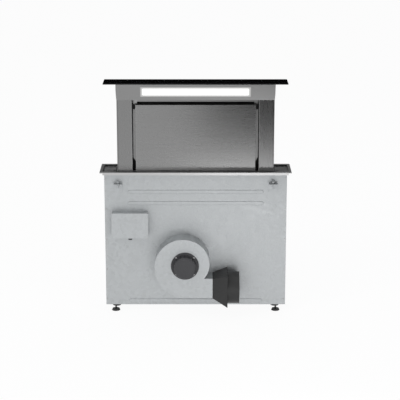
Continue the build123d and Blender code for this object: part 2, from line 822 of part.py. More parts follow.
# Grease filters: a rimmed cassette whose front and rear baffles face each other's gaps.
filter_x = (filter_frame_half - filter_flange) / 2
filter_width = filter_frame_half - filter_flange - 2 * filter_gap
filter_height = frame_inner_height - 2 * filter_end_gap
baffle_pitch = (filter_width - 2 * filter_rim) / baffle_count
baffle_height = filter_height - 2 * filter_rim
for side, sign in sides:
    with BuildPart() as grease_filter:
        with BuildSketch(Plane.XZ.offset(-seat_y)):
            with Locations((sign * filter_x, frame_z)):
                RectangleRounded(filter_width, filter_height, fold_radius)
                Rectangle(filter_width - 2 * filter_rim, baffle_height, mode=Mode.SUBTRACT)
        extrude(amount=filter_thickness)
        with BuildSketch(Plane.XZ.offset(-seat_y)):
            with Locations((sign * filter_x, frame_z)):
                with GridLocations(baffle_pitch, 0, baffle_count - 1, 1):
                    Rectangle(baffle_slot, baffle_height)
        extrude(amount=baffle_sheet)
        with BuildSketch(Plane.XZ.offset(-seat_y + filter_thickness - baffle_sheet)):
            with Locations((sign * filter_x, frame_z)):
                Rectangle(filter_width - 2 * filter_rim, baffle_height)
                with GridLocations(baffle_pitch, 0, baffle_count - 1, 1):
                    gap_width = baffle_slot - 2 * baffle_sheet
                    Rectangle(gap_width, baffle_height - filter_rim, mode=Mode.SUBTRACT)
        extrude(amount=baffle_sheet)
        with BuildSketch(Plane.XY.offset(frame_z - baffle_height / 2)):
            grip_y = seat_y - filter_thickness - grip_depth / 2
            with Locations((sign * filter_x, grip_y)):
                Rectangle(grip_width, grip_depth)
            with Locations((sign * filter_x, grip_y + grip_bar)):
                Rectangle(grip_width - 2 * grip_bar, grip_depth, mode=Mode.SUBTRACT)
        extrude(amount=-grip_height + filter_rim / 2)
    grease_filter.part.label = f"{side}_grease_filter"
    export_step(grease_filter.part, f"parts/{side}_grease_filter.step")

# Front panel: a shallow folded tray that hides the filters and leaves a slot all round.
panel_height = panel_top - panel_bottom
with BuildPart() as front_panel:
    with BuildSketch(Plane.XZ.offset(-front_face)):
        with Locations((0, panel_bottom + panel_height / 2)):
            Rectangle(2 * panel_half, panel_height)
    extrude(amount=-panel_flange)
    fillet(front_panel.faces().sort_by(Axis.Y)[0].edges(), panel_edge)
    with BuildSketch(Plane.XZ.offset(-front_face - body_sheet)):
        with Locations((0, panel_bottom + panel_height / 2)):
            Rectangle(2 * (panel_half - body_sheet), panel_height - 2 * body_sheet)
    extrude(amount=-panel_flange, mode=Mode.SUBTRACT)
front_panel.part.label = "front_panel"
export_step(front_panel.part, "parts/front_panel.step")

# Panel catches: a ball catch on the filter frame at each upper corner of the panel.
catch_reach = catch_length + catch_overhang
with BuildPart() as panel_catches:
    with BuildSketch(Plane.XZ.offset(-frame_y)):
        with GridLocations(2 * panel_half + catch_reach, 0, 2, 1):
            with Locations((0, panel_top - catch_top_gap - catch_height / 2)):
                Rectangle(catch_reach, catch_height)
    extrude(amount=catch_depth)
panel_catches.part.label = "panel_catches"
export_step(panel_catches.part, "parts/panel_catches.step")

# Panel pivots: pins from the columns that carry the panel's lower corners.
pivot_length = column_inner - panel_half
with BuildPart() as panel_pivots:
    for side, sign in sides:
        with BuildSketch(Plane.YZ.offset(sign * panel_half)):
            with Locations((front_face + pivot_inset, panel_bottom + pivot_height)):
                Circle(pivot_radius)
        extrude(amount=sign * pivot_length)
panel_pivots.part.label = "panel_pivots"
export_step(panel_pivots.part, "parts/panel_pivots.step")

# Head brackets: angles in the top slot that tie the head to the filter frame.
bracket_x = filter_frame_half - bracket_inset - bracket_width / 2
with BuildPart() as head_brackets:
    with BuildSketch(Plane.XZ.offset(-frame_y)):
        with GridLocations(2 * bracket_x, 0, 2, 1):
            with Locations((0, (head_bottom + filter_frame_top) / 2)):
                Rectangle(bracket_width, head_bottom - filter_frame_top)
    extrude(amount=-bracket_sheet)
    with BuildSketch(Plane.XY.offset(filter_frame_top)):
        with GridLocations(2 * bracket_x, 0, 2, 1):
            with Locations((0, (frame_y + seat_y) / 2)):
                Rectangle(bracket_width, filter_frame_depth)
    extrude(amount=bracket_sheet)
head_brackets.part.label = "head_brackets"
export_step(head_brackets.part, "parts/head_brackets.step")

# Apron: the folded sheet below the panel, which stays inside the housing.
apron_top = panel_bottom - seat_gap
with BuildPart() as apron:
    with BuildSketch(Plane.YZ.offset(-column_inner)):
        with BuildLine():
            Polyline(
                (front_face, apron_top),
                (front_face, -tower_foot),
                (front_face + apron_flange, -tower_foot),
                (front_face + apron_flange, body_sheet - tower_foot),
                (front_face + body_sheet, body_sheet - tower_foot),
                (front_face + body_sheet, sheet_bottom - body_sheet),
                (seat_y + body_sheet, sheet_bottom - body_sheet),
                (seat_y + body_sheet, sheet_bottom),
                (front_face + body_sheet, sheet_bottom),
                (front_face + body_sheet, apron_top),
                close=True,
            )
        make_face()
    extrude(amount=2 * column_inner)
apron.part.label = "apron"
export_step(apron.part, "parts/apron.step")


# A plane square to the blower's axis: its depth is measured forwards from the housing.
def blower_plane(depth):
    return Plane(
        origin=(blower_x, housing_front_face - depth, blower_z),
        x_dir=(1, 0, 0),
        z_dir=(0, -1, 0),
    )


# The scroll's outline grows steadily round the wheel, from the tongue to a straight outlet.
scroll_sweep = 270 - scroll_tongue_angle
scroll_growth = log(scroll_end_radius / scroll_start_radius) / scroll_sweep


def scroll_point(turn):
    radius = scroll_start_radius * exp(scroll_growth * turn)
    angle = radians(scroll_tongue_angle + turn)
    return (radius * cos(angle), radius * sin(angle))


spiral = [scroll_point(scroll_sweep * step / scroll_steps) for step in range(scroll_steps + 1)]
with BuildSketch() as scroll_outline:
    with BuildLine():
        for step in range(0, scroll_steps, 2):
            ThreePointArc(spiral[step], spiral[step + 1], spiral[step + 2])
        Polyline(
            spiral[-1],
            (scroll_throat, spiral[-1][1]),
            (scroll_throat, spiral[0][1]),
            spiral[0],
        )
    make_face()

# Blower scroll: a back plate and a rolled wall that widens towards the outlet.
with BuildPart() as blower_scroll:
    with BuildSketch(blower_plane(0)):
        add(scroll_outline.sketch)
    extrude(amount=scroll_width)
    front_opening = blower_scroll.faces().sort_by(Axis.Y)[0]
    throat_opening = blower_scroll.faces().sort_by(Axis.X)[-1]
    offset(amount=-scroll_sheet, openings=[front_opening, throat_opening], kind=Kind.INTERSECTION)
    with BuildSketch(blower_plane(0)):
        Circle(inlet_radius + inlet_roll)
    extrude(amount=scroll_sheet, mode=Mode.SUBTRACT)
blower_scroll.part.label = "blower_scroll"
export_step(blower_scroll.part, "parts/blower_scroll.step")

# Scroll cover: the front plate, with a hole that the motor hangs in.
with BuildPart() as scroll_cover:
    with BuildSketch(blower_plane(scroll_width)):
        add(scroll_outline.sketch)
    extrude(amount=scroll_sheet)
    with BuildSketch(blower_plane(scroll_width)):
        Circle(hub_radius + impeller_gap)
    extrude(amount=scroll_sheet, mode=Mode.SUBTRACT)
scroll_cover.part.label = "scroll_cover"
export_step(scroll_cover.part, "parts/scroll_cover.step")

# Inlet ring: a spun cone in two steps that leads the air from the housing into the wheel.
inner_face_y = housing_front_face + body_sheet
flange_edge = inlet_radius + inlet_roll + inlet_flange
with BuildPart() as inlet_ring:
    with BuildSketch(Plane.YZ.offset(blower_x)):
        with BuildLine():
            Polyline(
                (inner_face_y, blower_z + flange_edge),
                (inner_face_y + inlet_sheet, blower_z + flange_edge),
                (inner_face_y + inlet_sheet, blower_z + inlet_radius + inlet_roll),
                (inner_face_y + inlet_sheet - inlet_step, blower_z + inlet_radius + inlet_step),
                (inner_face_y + inlet_sheet - inlet_roll, blower_z + inlet_radius),
                (inner_face_y + inlet_sheet - inlet_roll, blower_z + inlet_radius + inlet_sheet),
                (inner_face_y - inlet_step, blower_z + inlet_radius + inlet_step + inlet_sheet),
                (inner_face_y, blower_z + inlet_radius + inlet_roll),
                close=True,
            )
        make_face()
    revolve(axis=Axis((blower_x, 0, blower_z), (0, 1, 0)))
inlet_ring.part.label = "inlet_ring"
export_step(inlet_ring.part, "parts/inlet_ring.step")

# Impeller: a squirrel cage of forward-curved blades between a hub disc and an end ring.
wheel_start = scroll_width - impeller_gap - impeller_width - hub_disc
blade_half = degrees(blade_thickness / 2 / blade_inner_radius)


def on_circle(radius, angle):
    return (radius * cos(radians(angle)), radius * sin(radians(angle)))


with BuildPart() as impeller:
    with BuildSketch(blower_plane(wheel_start + impeller_width)):
        Circle(impeller_radius)
    extrude(amount=hub_disc)
    with BuildSketch(blower_plane(wheel_start)):
        with PolarLocations(0, blade_count):
            with BuildLine():
                root_low = on_circle(blade_inner_radius, -blade_half)
                root_high = on_circle(blade_inner_radius, blade_half)
                tip_low = on_circle(impeller_radius, blade_lead - blade_half)
                tip_high = on_circle(impeller_radius, blade_lead + blade_half)
                SagittaArc(root_low, tip_low, -blade_bow)
                Line(tip_low, tip_high)
                SagittaArc(root_high, tip_high, -blade_bow)
                Line(root_low, root_high)
            make_face()
    extrude(amount=impeller_width)
    with BuildSketch(blower_plane(wheel_start)):
        Circle(impeller_radius)
        Circle(impeller_radius - ring_width, mode=Mode.SUBTRACT)
    extrude(amount=ring_height)
    with BuildSketch(blower_plane(wheel_start + impeller_width + hub_disc)):
        Circle(hub_radius)
    extrude(amount=-hub_length)
    with BuildSketch(blower_plane(wheel_start + impeller_width + hub_disc)):
        Circle(motor_shaft_radius + running_gap)
    extrude(amount=-hub_length, mode=Mode.SUBTRACT)
impeller.part.label = "impeller"
export_step(impeller.part, "parts/impeller.step")

# Blower motor: a finned can with a bevelled cap on a flange, and the shaft that carries the wheel.
motor_start = scroll_width + scroll_sheet
shaft_reach = impeller_gap + hub_length
with BuildPart() as blower_motor:
    with BuildSketch(blower_plane(motor_start)):
        Circle(motor_flange_radius)
    extrude(amount=motor_flange)
    with BuildSketch(blower_plane(motor_start + motor_flange)):
        Circle(motor_radius)
    extrude(amount=motor_length)
    chamfer(blower_motor.faces().sort_by(Axis.Y)[0].edges(), motor_bevel)
    with BuildSketch(blower_plane(motor_start + motor_flange)):
        with PolarLocations(motor_radius, motor_fin_count):
            Rectangle(2 * motor_fin_depth, motor_fin_width)
    extrude(amount=motor_length - motor_bevel, mode=Mode.SUBTRACT)
    with BuildSketch(blower_plane(motor_start)):
        Circle(motor_shaft_radius)
    extrude(amount=-shaft_reach - scroll_sheet)
blower_motor.part.label = "blower_motor"
export_step(blower_motor.part, "parts/blower_motor.step")

# Outlet adapter: a box that flares from the scroll's throat to a plate round the duct.
throat_x = blower_x + scroll_throat
throat_width = scroll_width + scroll_sheet
throat_y = housing_front_face - throat_width / 2
throat_top = scroll_point(0)[1]
throat_height = scroll_end_radius + throat_top
throat_z = blower_z + throat_top - throat_height / 2
mouth_width = 2 * (duct_radius + mouth_margin)
duct_y = housing_front_face - duct_gap - mouth_width / 2
collar_x = throat_x + adapter_length
collar_bore = duct_radius - collar_wall


def flare_sketch(throat_middle, throat_half, mouth_middle, mouth_half):
    with BuildSketch() as flare:
        with BuildLine():
            Polyline(
                (throat_x, throat_middle - throat_half),
                (throat_x, throat_middle + throat_half),
                (collar_x, mouth_middle + mouth_half),
                (collar_x, mouth_middle - mouth_half),
                close=True,
            )
        make_face()
    return flare.sketch


def adapter_form(inset):
    mouth_half = mouth_width / 2 - inset
    with BuildPart() as form:
        with BuildSketch(Plane.XZ):
            add(flare_sketch(throat_z, throat_height / 2 - inset, throat_z, mouth_half))
        extrude(amount=mouth_width - duct_y)
        with BuildSketch(Plane.XY.offset(throat_z)):
            add(flare_sketch(throat_y, throat_width / 2 - inset, duct_y, mouth_half))
        extrude(amount=mouth_width, both=True, mode=Mode.INTERSECT)
    return form.part


with BuildPart() as outlet_adapter:
    add(adapter_form(0))
    add(adapter_form(adapter_sheet), mode=Mode.SUBTRACT)
    with BuildSketch(Plane.YZ.offset(collar_x)):
        with Locations((duct_y, throat_z)):
            Rectangle(mouth_width - adapter_sheet, mouth_width - adapter_sheet)
            Circle(collar_bore, mode=Mode.SUBTRACT)
    extrude(amount=-adapter_sheet)
outlet_adapter.part.label = "outlet_adapter"
export_step(outlet_adapter.part, "parts/outlet_adapter.step")

# Duct collar: a round spigot with a stop ring inside, which the closed flaps rest against.
damper_x = collar_x + damper_place
stop_x = damper_x - knuckle_radius - seat_gap
with BuildPart() as duct_collar:
    with BuildSketch(Plane.YZ.offset(collar_x)):
        with Locations((duct_y, throat_z)):
            Circle(duct_radius)
            Circle(collar_bore, mode=Mode.SUBTRACT)
    extrude(amount=collar_length)
    with BuildSketch(Plane.YZ.offset(stop_x)):
        with Locations((duct_y, throat_z)):
            Circle(collar_bore)
            Circle(collar_bore - stop_ring, mode=Mode.SUBTRACT)
    extrude(amount=-collar_wall)
duct_collar.part.label = "duct_collar"
export_step(duct_collar.part, "parts/duct_collar.step")

# Damper pin: an upright rod across the collar, which both flaps swing on.
pin_half = (collar_bore**2 - damper_pin_radius**2) ** 0.5
with BuildPart() as damper_pin:
    with BuildSketch(Plane.XY.offset(throat_z - pin_half)):
        with Locations((damper_x, duct_y)):
            Circle(damper_pin_radius)
    extrude(amount=2 * pin_half)
damper_pin.part.label = "damper_pin"
export_step(damper_pin.part, "parts/damper_pin.step")

# Damper flaps: two half discs, with knuckles that share the pin like a door hinge.
flap_radius = collar_bore - flap_gap
flap_x = damper_x - knuckle_radius + flap_thickness / 2
for flap, sign in (("front", -1), ("rear", 1)):
    with BuildPart() as damper_flap:
        with BuildSketch(Plane.YZ.offset(damper_x - knuckle_radius)):
            with BuildLine():
                chord = (flap_radius**2 - knuckle_radius**2) ** 0.5
                low_end = (duct_y + sign * knuckle_radius, throat_z - chord)
                high_end = (duct_y + sign * knuckle_radius, throat_z + chord)
                Line(low_end, high_end)
                ThreePointArc(low_end, (duct_y + sign * flap_radius, throat_z), high_end)
            make_face()
        extrude(amount=flap_thickness)
        for row in range((sign + 1) // 2, knuckle_count, 2):
            knuckle_z = throat_z + knuckle_spacing * (row - (knuckle_count - 1) / 2)
            knuckle_bottom = knuckle_z - knuckle_height / 2
            with BuildSketch(Plane.XY.offset(knuckle_bottom)):
                with Locations((damper_x, duct_y)):
                    Circle(knuckle_radius)
                with Locations((flap_x, duct_y + sign * knuckle_radius / 2)):
                    Rectangle(flap_thickness, knuckle_radius)
                with Locations((damper_x, duct_y)):
                    Circle(damper_pin_radius + running_gap, mode=Mode.SUBTRACT)
            extrude(amount=knuckle_height)
    damper_flap.part.label = f"{flap}_damper_flap"
    export_step(damper_flap.part, f"parts/{flap}_damper_flap.step")

# Control box: a folded case on the front of the housing.
with BuildPart() as control_box:
    with BuildSketch(Plane.XZ.offset(-housing_front_face)):
        with Locations((control_x, control_z)):
            RectangleRounded(control_length, control_height, control_corner)
    extrude(amount=control_depth)
    with BuildSketch(Plane.XZ.offset(-housing_front_face + body_sheet)):
        with Locations((control_x, control_z)):
            Rectangle(control_length - 2 * body_sheet, control_height - 2 * body_sheet)
    extrude(amount=control_depth, mode=Mode.SUBTRACT)
    with BuildSketch(Plane.XY.offset(control_z - control_height / 2)):
        with Locations((control_x, housing_front_face - control_depth / 2)):
            Circle(gland_radius - sliding_gap)
    extrude(amount=body_sheet, mode=Mode.SUBTRACT)
control_box.part.label = "control_box"
export_step(control_box.part, "parts/control_box.step")

# Control lid: a flanged cover over the case's open front.
lid_length = control_length + 2 * body_sheet
lid_height = control_height + 2 * body_sheet
with BuildPart() as control_lid:
    with BuildSketch(Plane.XZ.offset(-housing_front_face + control_depth - control_lip)):
        with Locations((control_x, control_z)):
            RectangleRounded(lid_length, lid_height, control_corner)
    extrude(amount=control_lip + body_sheet)
    with BuildSketch(Plane.XZ.offset(-housing_front_face + control_depth - control_lip)):
        with Locations((control_x, control_z)):
            RectangleRounded(control_length, control_height, control_corner)
    extrude(amount=control_lip, mode=Mode.SUBTRACT)
control_lid.part.label = "control_lid"
export_step(control_lid.part, "parts/control_lid.step")

# Cable gland: a hexagon nut on a sleeve, where the supply cable would enter.
with BuildPart() as cable_gland:
    gland_top = control_z - control_height / 2 + body_sheet
    with BuildSketch(Plane.XY.offset(gland_top)):
        with Locations((control_x, housing_front_face - control_depth / 2)):
            Circle(gland_radius - 2 * sliding_gap)
    extrude(amount=-gland_length)
    with BuildSketch(Plane.XY.offset(gland_top - body_sheet)):
        with Locations((control_x, housing_front_face - control_depth / 2)):
            RegularPolygon(gland_hex / 2, 6)
    extrude(amount=-gland_length / 2)
    chamfer(cable_gland.faces().sort_by(Axis.Z)[0].edges(), gland_bevel)
    with BuildSketch(Plane.XY.offset(gland_top)):
        with Locations((control_x, housing_front_face - control_depth / 2)):
            Circle(gland_bore)
    extrude(amount=-gland_length, mode=Mode.SUBTRACT)
cable_gland.part.label = "cable_gland"
export_step(cable_gland.part, "parts/cable_gland.step")

# Worktop clamps: folded brackets whose bolts press a pad up against the worktop.
clamp_x = housing_half - clamp_inset
with BuildPart() as worktop_clamps:
    for face_sign in (-1, 1):
        clamp_face = face_sign * housing_depth / 2
        with BuildSketch(Plane.XY.offset(clamp_top - clamp_height)):
            with GridLocations(2 * clamp_x, 0, 2, 1):
                with Locations((0, clamp_face + face_sign * clamp_sheet / 2)):
                    Rectangle(clamp_width, clamp_sheet)
        extrude(amount=clamp_height)
        with BuildSketch(Plane.XY.offset(clamp_top - clamp_sheet)):
            with GridLocations(2 * clamp_x, 0, 2, 1):
                with Locations((0, clamp_face + face_sign * clamp_reach / 2)):
                    Rectangle(clamp_width, clamp_reach)
        extrude(amount=clamp_sheet)
        bolt_y = clamp_face + face_sign * clamp_reach / 2
        with BuildSketch(Plane.XY.offset(clamp_top - clamp_height / 2)):
            with GridLocations(2 * clamp_x, 0, 2, 1):
                with Locations((0, bolt_y)):
                    Circle(clamp_bolt_radius)
        extrude(amount=clamp_height / 2 - clamp_top - worktop_thickness)
        with BuildSketch(Plane.XY.offset(-worktop_thickness)):
            with GridLocations(2 * clamp_x, 0, 2, 1):
                with Locations((0, bolt_y)):
                    Circle(clamp_pad_radius)
        extrude(amount=-clamp_pad_height)
worktop_clamps.part.label = "worktop_clamps"
export_step(worktop_clamps.part, "parts/worktop_clamps.step")

# Casing screws: hexagon heads along the housing's edges and round the motor flange.
row_pitch = (channel_height - 2 * screw_end_margin) / (screw_rows - 1)
with BuildPart() as casing_screws:
    with BuildSketch(Plane.XZ.offset(-housing_front_face)):
        with Locations((0, cover_underside - channel_height / 2)):
            with GridLocations(housing_length - 2 * screw_edge, row_pitch, 2, screw_rows):
                RegularPolygon(screw_head_radius, 6)
    extrude(amount=screw_head_height)
    with BuildSketch(Plane.XZ.offset(-housing_depth / 2)):
        with Locations((0, cover_underside - channel_height / 2)):
            with GridLocations(housing_length - 2 * screw_edge, row_pitch, 2, screw_rows):
                RegularPolygon(screw_head_radius, 6)
    extrude(amount=-screw_head_height)
    with BuildSketch(blower_plane(motor_start + motor_flange)):
        with PolarLocations(motor_flange_radius - screw_edge, motor_screw_count, motor_screw_turn):
            RegularPolygon(screw_head_radius, 6)
    extrude(amount=screw_head_height)
casing_screws.part.label = "casing_screws"
export_step(casing_screws.part, "parts/casing_screws.step")
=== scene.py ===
import json
import math
import random

import bmesh
import bpy
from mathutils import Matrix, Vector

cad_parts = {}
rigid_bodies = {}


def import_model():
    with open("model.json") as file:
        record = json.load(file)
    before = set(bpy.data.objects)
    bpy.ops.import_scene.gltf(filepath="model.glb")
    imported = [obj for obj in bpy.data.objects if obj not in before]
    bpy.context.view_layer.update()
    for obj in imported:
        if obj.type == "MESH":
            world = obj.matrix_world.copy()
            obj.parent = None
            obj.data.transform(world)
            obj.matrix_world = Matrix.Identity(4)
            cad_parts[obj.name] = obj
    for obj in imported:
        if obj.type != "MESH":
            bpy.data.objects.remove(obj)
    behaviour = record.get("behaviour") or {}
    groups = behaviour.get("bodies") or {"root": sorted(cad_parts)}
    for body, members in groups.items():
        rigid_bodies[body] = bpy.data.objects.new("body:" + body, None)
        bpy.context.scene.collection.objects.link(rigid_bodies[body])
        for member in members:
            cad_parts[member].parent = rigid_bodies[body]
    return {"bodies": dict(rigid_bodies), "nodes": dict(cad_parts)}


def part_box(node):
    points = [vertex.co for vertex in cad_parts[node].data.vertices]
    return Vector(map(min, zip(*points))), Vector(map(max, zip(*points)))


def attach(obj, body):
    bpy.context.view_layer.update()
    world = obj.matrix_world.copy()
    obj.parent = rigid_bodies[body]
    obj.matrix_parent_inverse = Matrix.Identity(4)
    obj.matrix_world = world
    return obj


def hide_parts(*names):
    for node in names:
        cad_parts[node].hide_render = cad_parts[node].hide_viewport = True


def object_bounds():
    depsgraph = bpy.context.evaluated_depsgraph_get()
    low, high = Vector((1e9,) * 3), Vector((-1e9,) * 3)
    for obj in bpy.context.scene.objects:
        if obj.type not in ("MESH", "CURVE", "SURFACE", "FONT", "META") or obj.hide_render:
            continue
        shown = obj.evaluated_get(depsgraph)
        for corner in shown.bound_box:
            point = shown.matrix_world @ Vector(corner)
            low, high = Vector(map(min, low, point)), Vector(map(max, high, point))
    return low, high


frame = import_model()
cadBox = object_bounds()
bodies, nodes = frame["bodies"], frame["nodes"]


# A socket of a shader node, so that masks and patterns can be written as sums.
class Wire:
    def __init__(self, finish, socket):
        self.finish, self.socket = finish, socket

    def __add__(self, other):
        return self.finish.combine("ADD", self, other)

    def __radd__(self, other):
        return self.finish.combine("ADD", other, self)

    def __sub__(self, other):
        return self.finish.combine("SUBTRACT", self, other)

    def __rsub__(self, other):
        return self.finish.combine("SUBTRACT", other, self)

    def __mul__(self, other):
        return self.finish.combine("MULTIPLY", self, other)

    def __rmul__(self, other):
        return self.finish.combine("MULTIPLY", other, self)

    def __abs__(self):
        return self.finish.node("ShaderNodeMath", {"operation": "ABSOLUTE"}, {0: self})


# One material. Its surface is a Principled shader whose fixed values are set on its own sockets.
class Finish:
    def __init__(self, name, **fixed):
        self.material = bpy.data.materials.new(name)
        self.material.use_nodes = True
        self.tree = self.material.node_tree
        self.surface = self.tree.nodes["Principled BSDF"]
        for socket, value in fixed.items():
            self.surface.inputs[socket.replace("_", " ")].default_value = value
        self.place = self.node("ShaderNodeTexCoord", out="Object")

    def node(self, kind, settings=None, sockets=None, out=0):
        made = self.tree.nodes.new(kind)
        for key, value in (settings or {}).items():
            if key == "stops":
                for stop, (position, colour) in zip(made.color_ramp.elements, value):
                    stop.position, stop.color = position, shade(colour)
            else:
                setattr(made, key, value)
        for key, value in (sockets or {}).items():
            self.feed(made.inputs[key], value)
        return Wire(self, made.outputs[out])

    def feed(self, socket, value):
        if isinstance(value, Wire):
            self.tree.links.new(value.socket, socket)
        else:
            socket.default_value = value

    def combine(self, operation, a, b):
        return self.node("ShaderNodeMath", {"operation": operation}, {0: a, 1: b})

    def clamp(self, value, low=0.0):
        return self.node("ShaderNodeClamp", None, {"Value": value, "Min": low, "Max": 1.0})

    # A base value and a share of each pattern, kept between 0 and 1.
    def level(self, shares, offset=0.0, **patterns):
        total = offset + shares["base"]
        for name, pattern in patterns.items():
            total = total + shares[name] * pattern
        return self.clamp(total)

    def scaled(self, factors):
        return self.node("ShaderNodeVectorMath", {"operation": "MULTIPLY"}, {0: self.place, 1: factors})

    def along(self, axis):
        return self.node("ShaderNodeSeparateXYZ", None, {"Vector": self.place}, out=axis)

    def noise(self, scale, detail, place=None):
        sockets = {"Vector": place or self.place, "Scale": scale, "Detail": detail}
        return self.node("ShaderNodeTexNoise", None, sockets)

    def cells(self, scale, place=None, out="Distance"):
        return self.node("ShaderNodeTexVoronoi", None, {"Vector": place or self.place, "Scale": scale}, out)

    def ramp(self, value, *stops):
        return self.node("ShaderNodeValToRGB", {"stops": stops}, {"Fac": value})

    def mix(self, amount, first, second, blend="MIX"):
        settings = {"data_type": "RGBA", "blend_type": blend}
        return self.node("ShaderNodeMix", settings, {0: amount, 6: first, 7: second}, out=2)

    def tinted(self, colour, amount):
        return self.mix(1.0, shade(colour), self.ramp(amount, (0, 0.0), (1, 1.0)), "MULTIPLY")

    def set(self, socket, value):
        self.feed(self.surface.inputs[socket], value)

    def relief(self, height, depth):
        self.set("Normal", self.node("ShaderNodeBump", None, {"Height": height, "Distance": depth, "Strength": 1.0}))


def shade(colour):
    if isinstance(colour, (int, float)):
        return (colour, colour, colour, 1.0)
    return (*colour, 1.0)


def stretched(axis, along, across):
    return tuple(along if letter == axis else across for letter in "XYZ")


# In the settings of a finish, a noise is given by its scale and its detail, and lengths are in metres.
# Sheet steel has a grain brushed along one axis, soft smears and a fine tooth. A zone is a band of painted light or
# shade above a height, or below it where its softness is negative, and its ends may take a paler tone. A painted
# highlight along one edge and a line of painted shade near another are given by their distance from the middle.
brushing = {
    "along": 0.03, "coarse": (150.0, 3.0), "fine": (900.0, 2.0), "smears": (5.0, 3.0),
    "toneLoss": 0.75, "coarseTone": 0.9, "fineTone": 0.6, "rough": {"base": -0.06, "fine": 0.08, "smears": 0.04},
    "coarseTooth": 0.6, "reach": 0.0035, "foldHighlightGain": 0.16, "creaseShadeLoss": 0.26,
}
# The rim's top is painted shade: far darker than the rim's steel, and less dark toward its ends.
paintedShadeTop = {
    "height": 0.0034, "soft": 0.0006, "tone": 0.085, "rough": 0.4,
    "ends": {"from": 0.352, "over": 0.04, "tone": 0.23, "rough": 0.75},
}
# The tower's foot is painted light: paler than the steel above it, and rougher.
paintedLightFoot = {"height": 0.021, "soft": -0.01, "tone": 0.64, "rough": 0.45}


def nearness(finish, spread, middle):
    return finish.clamp(1.0 - abs(spread - middle) * (1 / brushing["reach"]))


def brushedSteel(name, colour, rough, streak, grain="X", zone=None, foldHighlight=None, creaseShade=None, tooth=0.000015):
    finish = Finish(name, Metallic=1.0, IOR=2.2)
    lined = finish.scaled(stretched(grain, brushing["along"], 1.0))
    coarse = finish.noise(*brushing["coarse"], lined)
    fine = finish.noise(*brushing["fine"], lined)
    smears = finish.noise(*brushing["smears"])
    coarseTone, fineTone = streak * brushing["coarseTone"], streak * brushing["fineTone"]
    tone = finish.clamp(1.0 - streak * brushing["toneLoss"] + coarseTone * coarse + fineTone * fine)
    worn = finish.level(brushing["rough"], rough, fine=fine, smears=smears)
    spread = abs(finish.along("X"))
    # A painted highlight along one edge, and a line of painted shade near another.
    if foldHighlight:
        gain = brushing["foldHighlightGain"]
        tone = tone * (1.0 - gain) + gain * nearness(finish, spread, foldHighlight)
        colour = colour / (1.0 - gain)
    if creaseShade:
        tone = tone * (1.0 - nearness(finish, spread, creaseShade) * brushing["creaseShadeLoss"])
    tinted = finish.tinted(colour, tone)
    # A zone's own tone takes the place of the steel's colour: painted light or shade over a band.
    if zone:
        inZone = finish.clamp((finish.along("Z") - zone["height"]) * (1 / zone["soft"]))
        zoned, roughened = finish.tinted(zone["tone"], tone), zone["rough"] - rough
        if "ends" in zone:
            ends = zone["ends"]
            atEnds = finish.clamp((spread - ends["from"]) * (1 / ends["over"]))
            zoned = finish.mix(atEnds, zoned, finish.tinted(ends["tone"], tone))
            roughened = roughened + atEnds * (ends["rough"] - zone["rough"])
        tinted = finish.mix(inZone, tinted, zoned)
        worn = worn + inZone * roughened
    finish.set("Base Color", tinted)
    finish.set("Roughness", worn)
    finish.relief(coarse * brushing["coarseTooth"] + fine, tooth)
    return finish.material


# The filter frame shows its own steel only on its front flange; what lies behind and inside it is painted shade,
# mottled in patches.
interiorShade = {
    "patches": (35.0, 4.0), "streaks": (1.0, 2.0), "streakScale": (700.0, 700.0, 30.0),
    "edge": 1500.0, "ragged": 0.5, "middle": 0.5, "unshaded": {"base": 0.84, "streaks": 0.16},
    "paintedShade": {"base": 0.5, "patches": 0.6}, "rough": {"base": 0.36, "streaks": 0.1, "hidden": 0.3},
    "patchRelief": 0.4, "relief": 0.00004,
}


def shadedInteriorSteel(name, colour, shadeTone, depth, half):
    finish = Finish(name, Metallic=1.0, IOR=2.2)
    patches = finish.noise(*interiorShade["patches"])
    spread = abs(finish.along("X"))
    raggedness = (patches - interiorShade["middle"]) * interiorShade["ragged"]
    behind = finish.clamp((finish.along("Y") - depth) * interiorShade["edge"] + raggedness)
    hidden = finish.clamp(behind + finish.clamp((half - spread) * interiorShade["edge"]))
    streaks = finish.noise(*interiorShade["streaks"], finish.scaled(interiorShade["streakScale"]))
    unshaded = finish.tinted(colour, finish.level(interiorShade["unshaded"], streaks=streaks))
    # Painted shade, mottled in patches, behind and inside the front flange.
    paintedShade = finish.tinted(shadeTone, finish.level(interiorShade["paintedShade"], patches=patches))
    finish.set("Base Color", finish.mix(hidden, unshaded, paintedShade))
    finish.set("Roughness", finish.level(interiorShade["rough"], streaks=streaks, hidden=hidden))
    finish.relief(streaks + patches * interiorShade["patchRelief"], interiorShade["relief"])
    return finish.material


# Galvanised sheet: dull zinc whose crystals lie at many angles.
spangle = {
    "size": 70.0, "bend": 24.0, "bendShare": 0.04, "dust": (6.0, 4.0), "pits": (600.0, 2.0),
    "tone": {"base": 0.72, "grey": 0.2, "dust": 0.12}, "rough": {"base": 0.36, "grey": 0.2, "dust": 0.12},
    "crystalRelief": 0.5, "pitRelief": 0.3, "relief": 0.00006,
}


def galvanisedSheet(name, colour):
    finish = Finish(name, Metallic=0.85)
    sockets = {"Vector": finish.place, "Scale": spangle["bend"]}
    bends = finish.node("ShaderNodeTexNoise", None, sockets, out="Color")
    crystals = finish.cells(spangle["size"], finish.mix(spangle["bendShare"], finish.place, bends), out="Color")
    grey = finish.node("ShaderNodeRGBToBW", None, {"Color": crystals})
    dust = finish.noise(*spangle["dust"])
    finish.set("Base Color", finish.tinted(colour, finish.level(spangle["tone"], grey=grey, dust=dust)))
    finish.set("Roughness", finish.level(spangle["rough"], grey=grey, dust=dust))
    pits = finish.noise(*spangle["pits"])
    finish.relief(grey * spangle["crystalRelief"] + pits * spangle["pitRelief"], spangle["relief"])
    return finish.material


# Turned or drawn steel: fine rings round the axis and a little oil.
turning = {
    "alongAxis": 900.0, "aroundAxis": 8.0, "rings": (1.0, 2.0), "oil": (40.0, 3.0), "relief": 0.00003,
    "tone": {"base": 0.8, "rings": 0.15, "oil": 0.12}, "rough": {"base": 0.2, "rings": 0.18, "oil": 0.1},
}


